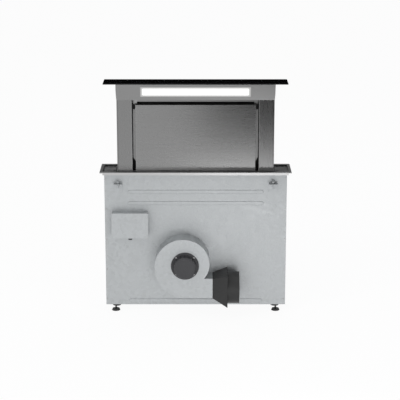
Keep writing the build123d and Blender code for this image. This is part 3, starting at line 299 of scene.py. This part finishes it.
def turnedSteel(name, colour, axis="Z"):
    finish = Finish(name, Metallic=1.0)
    ringed = finish.scaled(stretched(axis, turning["alongAxis"], turning["aroundAxis"]))
    rings = finish.noise(*turning["rings"], ringed)
    oil = finish.noise(*turning["oil"])
    finish.set("Base Color", finish.tinted(colour, finish.level(turning["tone"], rings=rings, oil=oil)))
    finish.set("Roughness", finish.level(turning["rough"], rings=rings, oil=oil))
    finish.relief(rings, turning["relief"])
    return finish.material


# Cast and machined bronze, browner where it has been handled.
casting = {
    "grain": (420.0, 4.0), "tarnish": (60.0, 4.0), "brown": (0.34, 0.2, 0.09), "brownGain": 1.6, "brownFrom": 0.5,
    "rough": {"base": 0.28, "tarnish": 0.2, "grain": 0.1}, "relief": 0.00005,
}


def castBronze(name, colour):
    finish = Finish(name, Metallic=1.0)
    grain = finish.noise(*casting["grain"])
    tarnish = finish.noise(*casting["tarnish"])
    browned = finish.clamp(tarnish * casting["brownGain"] - casting["brownFrom"])
    finish.set("Base Color", finish.mix(browned, shade(colour), shade(casting["brown"])))
    finish.set("Roughness", finish.level(casting["rough"], tarnish=tarnish, grain=grain))
    finish.relief(grain, casting["relief"])
    return finish.material


# Satin aluminium, drawn along one axis.
drawing = {
    "along": 0.05, "drawn": (420.0, 2.0), "cloud": (18.0, 3.0), "relief": 0.00003,
    "tone": {"base": 0.84, "drawn": 0.12, "cloud": 0.08}, "rough": {"base": 0.3, "drawn": 0.16, "cloud": 0.08},
}


def satinAluminium(name, colour, grain="Z"):
    finish = Finish(name, Metallic=1.0)
    drawn = finish.noise(*drawing["drawn"], finish.scaled(stretched(grain, drawing["along"], 1.0)))
    cloud = finish.noise(*drawing["cloud"])
    finish.set("Base Color", finish.tinted(colour, finish.level(drawing["tone"], drawn=drawn, cloud=cloud)))
    finish.set("Roughness", finish.level(drawing["rough"], drawn=drawn, cloud=cloud))
    finish.relief(drawn, drawing["relief"])
    return finish.material


# Toughened black glass with the faint smears and specks of a wiped surface.
wiping = {
    "smearScale": (1.0, 3.0, 1.0), "smears": (5.0, 4.0), "specks": (700.0, 2.0), "speckGain": 4.0, "speckFrom": 2.9,
    "tone": {"base": 0.6, "wiped": 0.3, "specks": 0.3}, "rough": {"base": 0.04, "wiped": 0.07},
}


def blackGlass(name, colour):
    finish = Finish(name, IOR=1.5, Specular_IOR_Level=0.12)
    wiped = finish.noise(*wiping["smears"], finish.scaled(wiping["smearScale"]))
    specks = finish.clamp(finish.noise(*wiping["specks"]) * wiping["speckGain"] - wiping["speckFrom"])
    finish.set("Base Color", finish.tinted(colour, finish.level(wiping["tone"], wiped=wiped, specks=specks)))
    finish.set("Roughness", finish.level(wiping["rough"], wiped=wiped))
    return finish.material


# Frosted cover, lit from behind by a row of chips that barely show through it; its edges glow less.
frost = {"grain": (900.0, 2.0), "relief": 0.00003, "warm": (1.0, 0.995, 0.985)}
cover = {
    "chips": 24, "halfWidth": 0.2515, "middle": 0.380, "halfHeight": 0.020, "fade": 0.005, "edge": 0.0026,
    "least": 0.1, "even": {"base": 0.975, "wave": 0.012, "grain": 0.02},
}


def litCover(name, colour):
    finish = Finish(name, Emission_Strength=1.0, Roughness=0.45)
    across = finish.along("X")
    spread, rise = abs(across), abs(finish.along("Z") - cover["middle"])
    sideways = (cover["halfWidth"] - cover["edge"] - spread) * (1 / cover["fade"])
    upward = (cover["halfHeight"] - cover["edge"] - rise) * (1 / cover["fade"])
    phase = across * (math.pi * cover["chips"] / cover["halfWidth"])
    wave = finish.node("ShaderNodeMath", {"operation": "COSINE"}, {0: phase})
    grain = finish.noise(*frost["grain"])
    even = finish.level(cover["even"], wave=wave, grain=grain)
    glow = finish.clamp(sideways, cover["least"]) * finish.clamp(upward, cover["least"]) * even
    finish.set("Base Color", finish.tinted(colour, even))
    finish.set("Emission Color", finish.tinted(frost["warm"], glow))
    finish.relief(grain, frost["relief"])
    return finish.material


# The bezel's glow is painted light, a halo round the light window, fainter toward the bezel's outer edge.
paintedHalo = {
    "inner": 0.5, "outer": 0.26, "grain": 0.02, "endReach": 0.0056, "sideReach": 0.0032,
    "tone": 0.9, "grainTone": 0.1,
}


def frostedBezel(name, colour):
    finish = Finish(name, Emission_Strength=1.0, Roughness=0.5)
    spread, rise = abs(finish.along("X")), abs(finish.along("Z") - cover["middle"])
    sideways = finish.clamp((spread - cover["halfWidth"]) * (1 / paintedHalo["endReach"]))
    upward = finish.clamp((rise - cover["halfHeight"]) * (1 / paintedHalo["sideReach"]))
    fade = finish.combine("MAXIMUM", sideways, upward)
    grain = finish.noise(*frost["grain"])
    glow = paintedHalo["inner"] - (paintedHalo["inner"] - paintedHalo["outer"]) * fade
    lit = finish.clamp(glow + paintedHalo["grain"] * grain)
    finish.set("Base Color", finish.tinted(colour, paintedHalo["tone"] + paintedHalo["grainTone"] * grain))
    finish.set("Emission Color", finish.tinted(frost["warm"], lit))
    finish.relief(grain, frost["relief"])
    return finish.material


# White circuit board with faint tracks under its mask.
boardTracks = {
    "Scale": 60.0, "Mortar Size": 0.03, "Mortar Smooth": 0.2,
    "Color1": shade(0.86), "Color2": shade(0.8), "Mortar": shade((0.6, 0.66, 0.6)),
}
boardSurface = {"grain": (500.0, 2.0), "relief": 0.00002}


def circuitBoard(name, colour):
    finish = Finish(name, Roughness=0.42)
    tracks = finish.node("ShaderNodeTexBrick", {"offset": 0.5}, {"Vector": finish.place, **boardTracks})
    finish.set("Base Color", finish.mix(1.0, shade(colour), tracks, "MULTIPLY"))
    finish.relief(finish.noise(*boardSurface["grain"]), boardSurface["relief"])
    return finish.material


# Moulded plastic with a spark-eroded tooth.
moulding = {
    "tooth": (1400.0, 2.0), "cloud": (22.0, 3.0), "relief": 0.00005,
    "tone": {"base": 0.82, "cloud": 0.22, "tooth": 0.06}, "rough": {"base": -0.08, "tooth": 0.12, "cloud": 0.08},
}


def mouldedPlastic(name, colour, rough=0.5, shine=0.35):
    finish = Finish(name, Specular_IOR_Level=shine)
    tooth = finish.noise(*moulding["tooth"])
    cloud = finish.noise(*moulding["cloud"])
    finish.set("Base Color", finish.tinted(colour, finish.level(moulding["tone"], cloud=cloud, tooth=tooth)))
    finish.set("Roughness", finish.level(moulding["rough"], rough, tooth=tooth, cloud=cloud))
    finish.relief(tooth, moulding["relief"])
    return finish.material


# Rubber or closed-cell foam: matt, dusty and slightly pitted.
rubber = {
    "dust": (30.0, 5.0), "tone": {"base": 0.65, "dust": 0.3, "pitted": 0.2}, "rough": {"base": 0.72, "dust": 0.15},
    "relief": 0.00006,
}


def mattRubber(name, colour, pits=900.0):
    finish = Finish(name, Specular_IOR_Level=0.12)
    pitted = finish.cells(pits)
    dust = finish.noise(*rubber["dust"])
    finish.set("Base Color", finish.tinted(colour, finish.level(rubber["tone"], dust=dust, pitted=pitted)))
    finish.set("Roughness", finish.level(rubber["rough"], dust=dust))
    finish.relief(pitted, rubber["relief"])
    return finish.material


# Powder coat: a fine orange peel.
coating = {
    "peel": (520.0, 2.0), "dust": (12.0, 4.0), "tone": {"base": 0.78, "dust": 0.3},
    "rough": {"base": 0.36, "dust": 0.14, "peel": 0.06}, "relief": 0.00012,
}


def powderCoat(name, colour):
    finish = Finish(name)
    peel = finish.noise(*coating["peel"])
    dust = finish.noise(*coating["dust"])
    finish.set("Base Color", finish.tinted(colour, finish.level(coating["tone"], dust=dust)))
    finish.set("Roughness", finish.level(coating["rough"], dust=dust, peel=peel))
    finish.relief(peel, coating["relief"])
    return finish.material


finishLooks = {
    "rimSteel": (brushedSteel, dict(colour=0.52, rough=0.32, streak=0.16, zone=paintedShadeTop)),
    "columnSteel": (brushedSteel, dict(
        colour=0.236, rough=0.28, streak=0.07, grain="Z", zone=paintedLightFoot, foldHighlight=0.2975, creaseShade=0.3632,
        tooth=0.000006)),
    "headSteel": (brushedSteel, dict(colour=0.263, rough=0.36, streak=0.08)),
    "panelSteel": (brushedSteel, dict(colour=0.257, rough=0.28, streak=0.24, zone=paintedLightFoot, foldHighlight=0.279)),
    "backSteel": (brushedSteel, dict(colour=0.236, rough=0.38, streak=0.12, grain="Z")),
    "floorSteel": (brushedSteel, dict(colour=0.62, rough=0.4, streak=0.14)),
    "filterSteel": (shadedInteriorSteel, dict(colour=0.3, shadeTone=0.07, depth=-0.0222, half=0.2805)),
    "bracketSteel": (brushedSteel, dict(colour=0.34, rough=0.36, streak=0.14)),
    "zincSheet": (galvanisedSheet, dict(colour=(0.55, 0.57, 0.58))),
    "turnedSteel": (turnedSteel, dict(colour=0.52)),
    "blackenedSteel": (turnedSteel, dict(colour=0.012, axis="X")),
    "bronze": (castBronze, dict(colour=(0.62, 0.45, 0.22))),
    "railAluminium": (satinAluminium, dict(colour=(0.66, 0.67, 0.69))),
    "sheetAluminium": (satinAluminium, dict(colour=(0.6, 0.61, 0.62), grain="X")),
    "blackGlass": (blackGlass, dict(colour=(0.002, 0.002, 0.0025))),
    "lightCover": (litCover, dict(colour=(0.5, 0.5, 0.49))),
    "frostedBezel": (frostedBezel, dict(colour=(0.05, 0.05, 0.05))),
    "whiteBoard": (circuitBoard, dict(colour=0.82)),
    "blackPlastic": (mouldedPlastic, dict(colour=0.025)),
    "greyPlastic": (mouldedPlastic, dict(colour=(0.3, 0.31, 0.32))),
    "blackRubber": (mattRubber, dict(colour=0.012)),
    "sealFoam": (mattRubber, dict(colour=0.03, pits=500.0)),
    "bristleBlack": (mouldedPlastic, dict(colour=0.012, rough=0.6, shine=0.1)),
    "catchBlack": (mouldedPlastic, dict(colour=0.006, rough=0.55, shine=0.1)),
    "motorCoat": (powderCoat, dict(colour=(0.035, 0.035, 0.038))),
}
finishes = {name: maker(name, **look) for name, (maker, look) in finishLooks.items()}
nodeFinish = {
    "rimSteel": "trim_frame",
    "columnSteel": "left_column right_column apron",
    "headSteel": "head_shell",
    "panelSteel": "front_panel",
    "backSteel": "rear_panel",
    "floorSteel": "left_end_cover right_end_cover",
    "bracketSteel": "head_brackets",
    "zincSheet": "housing_front housing_back left_housing_side right_housing_side housing_base blower_scroll"
                 " scroll_cover control_box control_lid worktop_clamps left_lift_carrier right_lift_carrier impeller",
    "turnedSteel": "left_lift_screw right_lift_screw damper_pin casing_screws",
    "blackenedSteel": "panel_pivots",
    "bronze": "screw_nuts",
    "railAluminium": "left_guide_rail right_guide_rail left_belt_pulley right_belt_pulley inlet_ring",
    "sheetAluminium": "left_grease_filter right_grease_filter light_tray front_damper_flap rear_damper_flap",
    "blackGlass": "glass_lid",
    "lightCover": "light_window",
    "whiteBoard": "light_strip touch_board",
    "blackPlastic": "support_feet limit_switches outlet_adapter duct_collar cable_gland",
    "catchBlack": "panel_catches",
    "filterSteel": "filter_frame",
    "greyPlastic": "upper_bearing_blocks lower_bearing_blocks guide_shoes",
    "blackRubber": "recess_lining drive_belt slot_seals",
    "sealFoam": "worktop_gasket",
    "motorCoat": "lift_motor blower_motor",
}
for finishName, dressed in nodeFinish.items():
    for nodeName in dressed.split():
        mesh = nodes[nodeName].data
        mesh.materials.clear()
        mesh.materials.append(finishes[finishName])
print("finishes made:", len(finishes))


# New pieces are made in millimetres, in the frame of the CAD, and stored in metres.
def addPiece(name, points, faces, finishName):
    mesh = bpy.data.meshes.new(name)
    mesh.from_pydata([(x / 1000, y / 1000, z / 1000) for x, y, z in points], [], faces)
    mesh.materials.append(finishes[finishName])
    shape = bmesh.new()
    shape.from_mesh(mesh)
    bmesh.ops.recalc_face_normals(shape, faces=shape.faces)
    shape.to_mesh(mesh)
    shape.free()
    piece = bpy.data.objects.new(name, mesh)
    bpy.context.scene.collection.objects.link(piece)
    return piece


# Joins equal closed rings of points into a tube, with a cap on each end or open.
def ringFaces(ringCount, size, start=0, capped=True):
    faces = []
    for ring in range(ringCount - 1):
        low, high = start + ring * size, start + (ring + 1) * size
        for step in range(size):
            after = (step + 1) % size
            faces.append((low + step, low + after, high + after, high + step))
    if capped:
        faces.append(tuple(reversed(range(start, start + size))))
        top = start + (ringCount - 1) * size
        faces.append(tuple(range(top, top + size)))
    return faces


# A prism whose outline lies in the plane of two axes and is repeated at two levels of the third.
def addPrism(points, faces, axes, outline, levels):
    start = len(points)
    thirdAxis = next(axis for axis in "xyz" if axis not in axes)
    for level in levels:
        for pair in outline:
            spot = {thirdAxis: level, **dict(zip(axes, pair))}
            points.append((spot["x"], spot["y"], spot["z"]))
    faces += ringFaces(len(levels), len(outline), start)


def circle(radius, size, turn=0.0):
    angles = [turn + 2 * math.pi * step / size for step in range(size)]
    return [(radius * math.cos(angle), radius * math.sin(angle)) for angle in angles]


def millimetres(node):
    low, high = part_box(node)
    return low * 1000, high * 1000


# Lift screws: a left-hand thread of four starts between plain journals, so that turning one way lifts the nut. The
# thread grows from a shoulder at each end.
liftScrew = {
    "crest": 6.0, "root": 4.7, "journal": 4.0, "pitch": 4.0, "starts": 4, "steps": 6, "x": 396.0,
    "threadTop": -34.3, "threadBottom": -541.7, "chamfer": 1.2, "shoulder": 0.3,
}


def threadedScrew(side, sign):
    part = liftScrew
    low, high = millimetres(side + "_lift_screw")
    size = part["starts"] * part["steps"]
    crest, root = part["crest"], part["root"]
    profile = [crest, crest, (crest + root) / 2, root, root, (crest + root) / 2]
    rise = part["pitch"] / part["steps"]
    count = int((part["threadTop"] - part["threadBottom"]) / rise)
    journal = [part["journal"]] * size
    rings = [(low.z, journal), (part["threadBottom"], journal)]
    for row in range(count + 1):
        height = part["threadBottom"] + row * rise
        inset = min(height - part["threadBottom"], part["threadTop"] - height)
        limit = part["journal"] + part["shoulder"] + max(inset, 0.0) * crest / part["chamfer"] / 2
        rings.append((height, [min(profile[(row + step) % part["steps"]], limit) for step in range(size)]))
    rings += [(part["threadTop"], journal), (high.z, journal)]
    points = []
    for height, radii in rings:
        for step, radius in enumerate(radii):
            angle = 2 * math.pi * step / size
            points.append((sign * part["x"] + radius * math.cos(angle), radius * math.sin(angle), height))
    faces = []
    for ring in range(len(rings) - 1):
        for step in range(size):
            a, b = ring * size + step, ring * size + (step + 1) % size
            faces += [(a, b, a + size), (b, b + size, a + size)]
    faces.append(tuple(reversed(range(size))))
    faces.append(tuple(range(len(points) - size, len(points))))
    screw = addPiece(side + "_threaded_screw", points, faces, "turnedSteel")
    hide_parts(side + "_lift_screw")
    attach(screw, side + "_screw")


for side, sign in (("left", -1), ("right", 1)):
    threadedScrew(side, sign)

# Drive belt: a toothed loop round both pulleys. The shape gives each corner of a tooth, as a share of the pitch.
belt = {
    "halfSpan": 396.0, "inner": 18.3, "land": 19.1, "outer": 19.9, "pitch": 5.0,
    "shape": ((0.0, "land"), (0.2, "inner"), (0.5, "inner"), (0.7, "land")),
}


def toothedBelt():
    low, high = millimetres("drive_belt")
    straight, bend = 2 * belt["halfSpan"], math.pi * belt["inner"]
    around = 2 * (straight + bend)
    teeth = round(around / belt["pitch"])

    def place(along, radius):
        along %= around
        half, rest = divmod(along, straight + bend)
        side = 1 if half < 1 else -1
        if rest < straight:
            return side * (rest - belt["halfSpan"]), -side * radius
        angle = (rest - straight) / bend * math.pi
        return side * (belt["halfSpan"] + radius * math.sin(angle)), -side * radius * math.cos(angle)

    points = []
    for tooth in range(teeth):
        for share, layer in belt["shape"]:
            along = (tooth + share) * around / teeth
            for radius in (belt[layer], belt["outer"]):
                x, y = place(along, radius)
                points += [(x, y, low.z), (x, y, high.z)]
    faces = []
    count = teeth * len(belt["shape"])
    for step in range(count):
        a, b = 4 * step, 4 * ((step + 1) % count)
        faces += [(a, b, b + 1, a + 1), (a + 2, a + 3, b + 3, b + 2)]
        faces += [(a, a + 2, b + 2, b), (a + 1, b + 1, b + 3, a + 3)]
    loop = addPiece("toothed_belt", points, faces, "blackRubber")
    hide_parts("drive_belt")
    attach(loop, "housing")


toothedBelt()

# Brush seals: a holder along each side of the slot, and two layers of bristles that reach for the tower.
brush = {
    "front": (-62.0, -53.6), "back": (62.0, 45.6), "holder": 4.2, "nose": 0.3, "low": -2.5, "middle": -1.5,
    "high": -0.5, "bristle": 0.42, "rooted": 0.2, "spacing": 0.8, "scatter": 0.6, "endGap": 0.5,
    "layers": (-1.9, -1.1), "sway": 0.5, "drop": 0.25, "shorter": 0.5, "seed": 11,
}


def brushSeals():
    draw = random.Random(brush["seed"])
    half = millimetres("slot_seals")[1].x
    thick = brush["bristle"] / 2
    points, faces = [], []
    for root, tip in (brush["front"], brush["back"]):
        toward = 1 if tip > root else -1
        inner = root + toward * brush["holder"]
        section = [
            (root, brush["low"]), (inner, brush["low"]), (inner + toward * brush["nose"], brush["middle"]),
            (inner, brush["high"]), (root, brush["high"])]
        addPrism(points, faces, "yz", section, (-half, half))
        for height in brush["layers"]:
            count = int((2 * half - 2 * brush["endGap"]) / brush["spacing"])
            for number in range(count):
                x = brush["endGap"] - half + (number + draw.random() * brush["scatter"]) * brush["spacing"]
                lean = draw.uniform(-brush["sway"], brush["sway"])
                drop = draw.uniform(-brush["drop"], brush["drop"])
                short = draw.uniform(0.0, brush["shorter"])
                start = len(points)
                for y, push in ((inner - toward * brush["rooted"], 0.0), (tip - toward * short, 1.0)):
                    middle, level = x + lean * push, height + drop * push
                    points += [(middle - thick, y, level - thick), (middle + thick, y, level - thick),
                               (middle, y, level + thick)]
                faces += ringFaces(2, 3, start)
    seals = addPiece("brush_seals", points, faces, "bristleBlack")
    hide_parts("slot_seals")
    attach(seals, "housing")


brushSeals()

# Casing screws: hexagon heads on washers, along the housing's edges and round the blower motor.
casingScrew = {
    "washer": 3.95, "washerHeight": 0.5, "washerEdge": 0.15, "washerSides": 24, "headSides": 6,
    "corners": 3.35, "height": 2.4, "chamfer": 0.45, "dish": 2.0, "dishStep": 0.5,
    "x": 423.0, "middle": -328.75, "pitch": 149.125, "rows": 5, "face": 60.0,
    "motorCentre": (-50.0, -430.0), "motorCircle": 59.0, "motorScrews": 4,
}


def hexHead(points, faces, x, y, z, toward):
    part = casingScrew
    washer, washerTop, edge = part["washer"], part["washerHeight"], part["washerEdge"]
    corners, top, chamfer = part["corners"], part["height"], part["chamfer"]
    washerRings = [(washer, 0.0), (washer, washerTop - edge), (washer - edge, washerTop)]
    headRings = [
        (corners, washerTop), (corners, top - chamfer), (corners - chamfer, top),
        (part["dish"], top), (part["dish"] - part["dishStep"], top - part["dishStep"])]
    for rings, sides in ((washerRings, part["washerSides"]), (headRings, part["headSides"])):
        start = len(points)
        for radius, height in rings:
            points += [(x + a, y + toward * height, z + b) for a, b in circle(radius, sides)]
        faces += ringFaces(len(rings), sides, start)


def casingScrews():
    part = casingScrew
    points, faces = [], []
    motorFace = millimetres("casing_screws")[0].y + part["height"]
    for row in range(part["rows"]):
        height = part["middle"] + (row - (part["rows"] - 1) / 2) * part["pitch"]
        for x in (-part["x"], part["x"]):
            hexHead(points, faces, x, -part["face"], height, -1)
            hexHead(points, faces, x, part["face"], height, 1)
    centreX, centreZ = part["motorCentre"]
    for x, z in circle(part["motorCircle"], part["motorScrews"], math.pi / 4):
        hexHead(points, faces, centreX + x, motorFace, centreZ + z, -1)
    heads = addPiece("hexagon_screws", points, faces, "turnedSteel")
    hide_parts("casing_screws")
    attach(heads, "housing")


casingScrews()

# A folded lip hangs from the head over the top slot.
lip = {
    "half": 272.5, "front": -43.8, "back": -42.6, "low": 333.6, "high": 341.0, "roll": 1.0,
    "rollIn": 0.35, "rollUp": 0.3, "edge": 0.2,
}


def foldedLip():
    front, back, low, roll = lip["front"], lip["back"], lip["low"], lip["roll"]
    section = [
        (front, lip["high"]), (front, low + roll), (front + lip["rollIn"] * roll, low + lip["rollUp"] * roll),
        (back - lip["edge"], low), (back, low + lip["edge"]), (back, lip["high"])]
    points, faces = [], []
    addPrism(points, faces, "yz", section, (-lip["half"], lip["half"]))
    headLip = addPiece("head_lip", points, faces, "headSteel")
    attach(headLip, "tower")


foldedLip()

# A black sheet at the foot of each side slot is painted shade, where the slot darkens toward the bottom.
slotFootShade = {
    "inner": 281.2, "outer": 293.4, "face": -24.0, "proud": 0.9, "foot": 6.5, "innerTop": 44.0, "outerTop": 66.0,
}


def slotFootShades():
    inner, outer, face = slotFootShade["inner"], slotFootShade["outer"], slotFootShade["face"]
    points, faces = [], []
    for sign in (-1, 1):
        outline = [
            (sign * outer, slotFootShade["foot"]), (sign * outer, slotFootShade["outerTop"]),
            (sign * inner, slotFootShade["innerTop"]), (sign * inner, slotFootShade["foot"])]
        addPrism(points, faces, "xz", outline, (face, face - slotFootShade["proud"]))
    seals = addPiece("slot_foot_shades", points, faces, "catchBlack")
    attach(seals, "tower")


slotFootShades()

# Each front flange of the filter frame has a thin hem on its outer edge.
hem = {
    "inner": 288.4, "outer": 293.0, "front": -24.4, "back": -23.2, "low": 30.0, "high": 340.0,
    "bevelWidth": 0.4, "bevelDepth": 0.5,
}


def flangeHems():
    inner, outer, front, back = hem["inner"], hem["outer"], hem["front"], hem["back"]
    points, faces = [], []
    for sign in (-1, 1):
        section = [
            (sign * inner, front), (sign * (outer - hem["bevelWidth"]), front),
            (sign * outer, front + hem["bevelDepth"]), (sign * outer, back), (sign * inner, back)]
        addPrism(points, faces, "xy", section, (hem["low"], hem["high"]))
    hems = addPiece("flange_hems", points, faces, "filterSteel")
    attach(hems, "tower")


flangeHems()

# A tapered tongue hangs from each panel catch.
tongue = {"inner": 282.0, "outer": 292.0, "low": 296.5, "high": 302.0, "taper": 1.0, "face": 1.0, "thick": 2.2}


def catchTongues():
    inner, outer = tongue["inner"], tongue["outer"]
    front = millimetres("panel_catches")[0].y + tongue["face"]
    points, faces = [], []
    for sign in (-1, 1):
        outline = [
            (sign * outer, tongue["high"]), (sign * inner, tongue["high"]),
            (sign * (inner + tongue["taper"]), tongue["low"]), (sign * (outer - tongue["taper"]), tongue["low"])]
        addPrism(points, faces, "xz", outline, (front, front + tongue["thick"]))
    tabs = addPiece("catch_tongues", points, faces, "catchBlack")
    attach(tabs, "tower")


catchTongues()

# The light window's bezel lies on the head's leaning face; its painted glow fades outward.
bezel = {
    "half": 251.5, "low": 360.0, "high": 400.0, "ends": 5.6, "sides": 3.2, "gap": 0.2, "edge": 0.3, "proud": 0.35,
    "seat": 0.3, "faceY": -44.0, "faceZ": 341.0, "lean": 8.0 / 75.0,
}


def lightBezel():
    ends, sides, gap, edge = bezel["ends"], bezel["sides"], bezel["gap"], bezel["edge"]
    proud, seat = bezel["proud"], bezel["seat"]
    rings = (
        (gap, gap, -seat), (gap, gap, proud), (ends - edge, sides - edge, proud),
        (ends, sides, proud / 2), (ends, sides, -seat))
    corners = ((-1, -1), (1, -1), (1, 1), (-1, 1))
    points = []
    for wider, taller, out in rings:
        for x, z in corners:
            height = bezel["low"] - taller if z < 0 else bezel["high"] + taller
            y = bezel["faceY"] - bezel["lean"] * (height - bezel["faceZ"]) - out
            points.append((x * (bezel["half"] + wider), y, height))
    count, last = len(corners), len(corners) * (len(rings) - 1)
    faces = ringFaces(len(rings), count, capped=False)
    for step in range(count):
        after = (step + 1) % count
        faces.append((last + step, last + after, after, step))
    frameRing = addPiece("light_bezel", points, faces, "frostedBezel")
    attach(frameRing, "tower")


lightBezel()
print("threads, belt, brushes, screws, lip, drip seals, hems, catch tongues and bezel made")


# The floor is a pale sheet under the feet; rays that look at it or mirror it find it nearly white, like the room.
room = {
    "reach": 60.0, "tone": 0.8, "mottles": (1.4, 3.0), "mottleTone": 0.01, "whiteShare": 0.93,
    "sky": 0.97, "worldColour": (0.97, 0.98, 1.0), "worldLight": 0.75,
}


def seenDirectly(finish):
    seen = finish.node("ShaderNodeLightPath", out="Is Camera Ray")
    mirrored = finish.node("ShaderNodeLightPath", out="Is Glossy Ray")
    through = finish.node("ShaderNodeLightPath", out="Is Transmission Ray")
    return finish.clamp(seen + mirrored + through)


def paleFloor():
    finish = Finish("paleFloor", Roughness=0.9, Specular_IOR_Level=0.0)
    darker, lighter = room["tone"] - room["mottleTone"], room["tone"] + room["mottleTone"]
    finish.set("Base Color", finish.ramp(finish.noise(*room["mottles"]), (0, darker), (1, lighter)))
    white = finish.node("ShaderNodeEmission", None, {"Color": shade(1.0), "Strength": 1.0})
    surface = Wire(finish, finish.surface.outputs[0])
    sockets = {0: seenDirectly(finish) * room["whiteShare"], 1: surface, 2: white}
    blended = finish.node("ShaderNodeMixShader", None, sockets)
    finish.feed(finish.tree.nodes["Material Output"].inputs["Surface"], blended)
    return finish.material


def sheetAt(name, corners, material):
    mesh = bpy.data.meshes.new(name)
    mesh.from_pydata(corners, [], [(0, 1, 2, 3)])
    mesh.materials.append(material)
    sheet = bpy.data.objects.new(name, mesh)
    bpy.context.scene.collection.objects.link(sheet)
    return sheet


floorZ, reach = cadBox[0].z, room["reach"]
floorCorners = [(-reach, -reach, floorZ), (reach, -reach, floorZ), (reach, reach, floorZ), (-reach, reach, floorZ)]
sheetAt("floor", floorCorners, paleFloor())

# The room's own light is a little cool, and rays that look at it or mirror it find it nearly white.
world = bpy.data.worlds.new("paleRoom")
world.use_nodes = True
makeNode, link = world.node_tree.nodes.new, world.node_tree.links.new
background = world.node_tree.nodes["Background"]
background.inputs["Color"].default_value = shade(room["worldColour"])
background.inputs["Strength"].default_value = room["worldLight"]
whiteBack = makeNode("ShaderNodeBackground")
whiteBack.inputs["Color"].default_value = shade(room["sky"])
rays = makeNode("ShaderNodeLightPath")
either = makeNode("ShaderNodeMath")
either.operation, either.use_clamp = "ADD", True
blend = makeNode("ShaderNodeMixShader")
link(rays.outputs["Is Camera Ray"], either.inputs[0])
link(rays.outputs["Is Glossy Ray"], either.inputs[1])
link(either.outputs[0], blend.inputs[0])
link(background.outputs[0], blend.inputs[1])
link(whiteBack.outputs[0], blend.inputs[2])
link(blend.outputs[0], world.node_tree.nodes["World Output"].inputs["Surface"])
bpy.context.scene.world = world

# Soft studio light: a big panel from the left, weaker ones from the right and behind. Polished faces mirror the
# white room and none of the panels, apart from a wide low one that brightens the tower's lower right corner.
lamps = {
    "leftPanel": {"at": (-2.6, -3.0, 2.6), "size": 2.4, "power": 70.0},
    "rightPanel": {"at": (2.4, -2.6, 0.5), "size": 1.6, "power": 20.0},
    "backPanel": {"at": (0.6, 3.2, 3.0), "size": 2.6, "power": 16.0},
    "lowPanel": {"at": (0.34, -1.5, -0.56), "size": 0.38, "wide": 0.66, "power": 2.15, "mirrored": True},
}
for lampName, lamp in lamps.items():
    light = bpy.data.lights.new(lampName, "AREA")
    light.size, light.energy = lamp["size"], lamp["power"]
    if "wide" in lamp:
        light.shape, light.size, light.size_y = "RECTANGLE", lamp["wide"], lamp["size"]
    holder = bpy.data.objects.new(lampName, light)
    holder.location = lamp["at"]
    holder.rotation_euler = (-holder.location).to_track_quat("-Z", "Y").to_euler()
    holder.visible_camera, holder.visible_glossy = False, "mirrored" in lamp
    bpy.context.scene.collection.objects.link(holder)

# Dark felt cards that only the polished faces mirror: one behind the vent, one before its right side.
felting = {"mottles": (3.0, 2.0), "darker": 0.8}
cards = {
    "backCard": {"tone": 0.005, "y": 2.4, "x": (-2.6, 1.5), "z": (0.0, 3.2)},
    "rightCard": {"tone": 0.015, "y": -1.6, "x": (0.06, 2.2), "z": (-0.31, 1.6)},
}
for cardName, card in cards.items():
    (left, right), (low, high), y, tone = card["x"], card["z"], card["y"], card["tone"]
    felt = Finish(cardName + "Felt", Roughness=1.0, Specular_IOR_Level=0.0)
    felt.set("Base Color", felt.ramp(felt.noise(*felting["mottles"]), (0, tone * felting["darker"]), (1, tone)))
    cardCorners = [(left, y, low), (right, y, low), (right, y, high), (left, y, high)]
    board = sheetAt(cardName, cardCorners, felt.material)
    board.visible_camera = board.visible_diffuse = board.visible_shadow = False
print("room, lamps and cards made")

# The camera looks down a little at the raised tower, as in the photograph.
lens = {
    "distance": 6.626, "pitch": 15.01, "length": 125.1, "sensor": 36.0, "aimX": 0.0207, "aimZ": -0.151,
    "farthest": 60.0,
}
pitch = math.radians(lens["pitch"])
camera = bpy.data.objects.new("camera", bpy.data.cameras.new("camera"))
camera.data.lens, camera.data.sensor_width = lens["length"], lens["sensor"]
camera.location = (
    lens["aimX"],
    -lens["distance"] * math.cos(pitch),
    lens["aimZ"] + lens["distance"] * math.sin(pitch),
)
camera.rotation_euler = (math.pi / 2 - pitch, 0.0, 0.0)
camera.data.clip_end = lens["farthest"]
bpy.context.scene.collection.objects.link(camera)
bpy.context.scene.camera = camera

bpy.context.scene.view_settings.view_transform = "Standard"
print("scene ready")
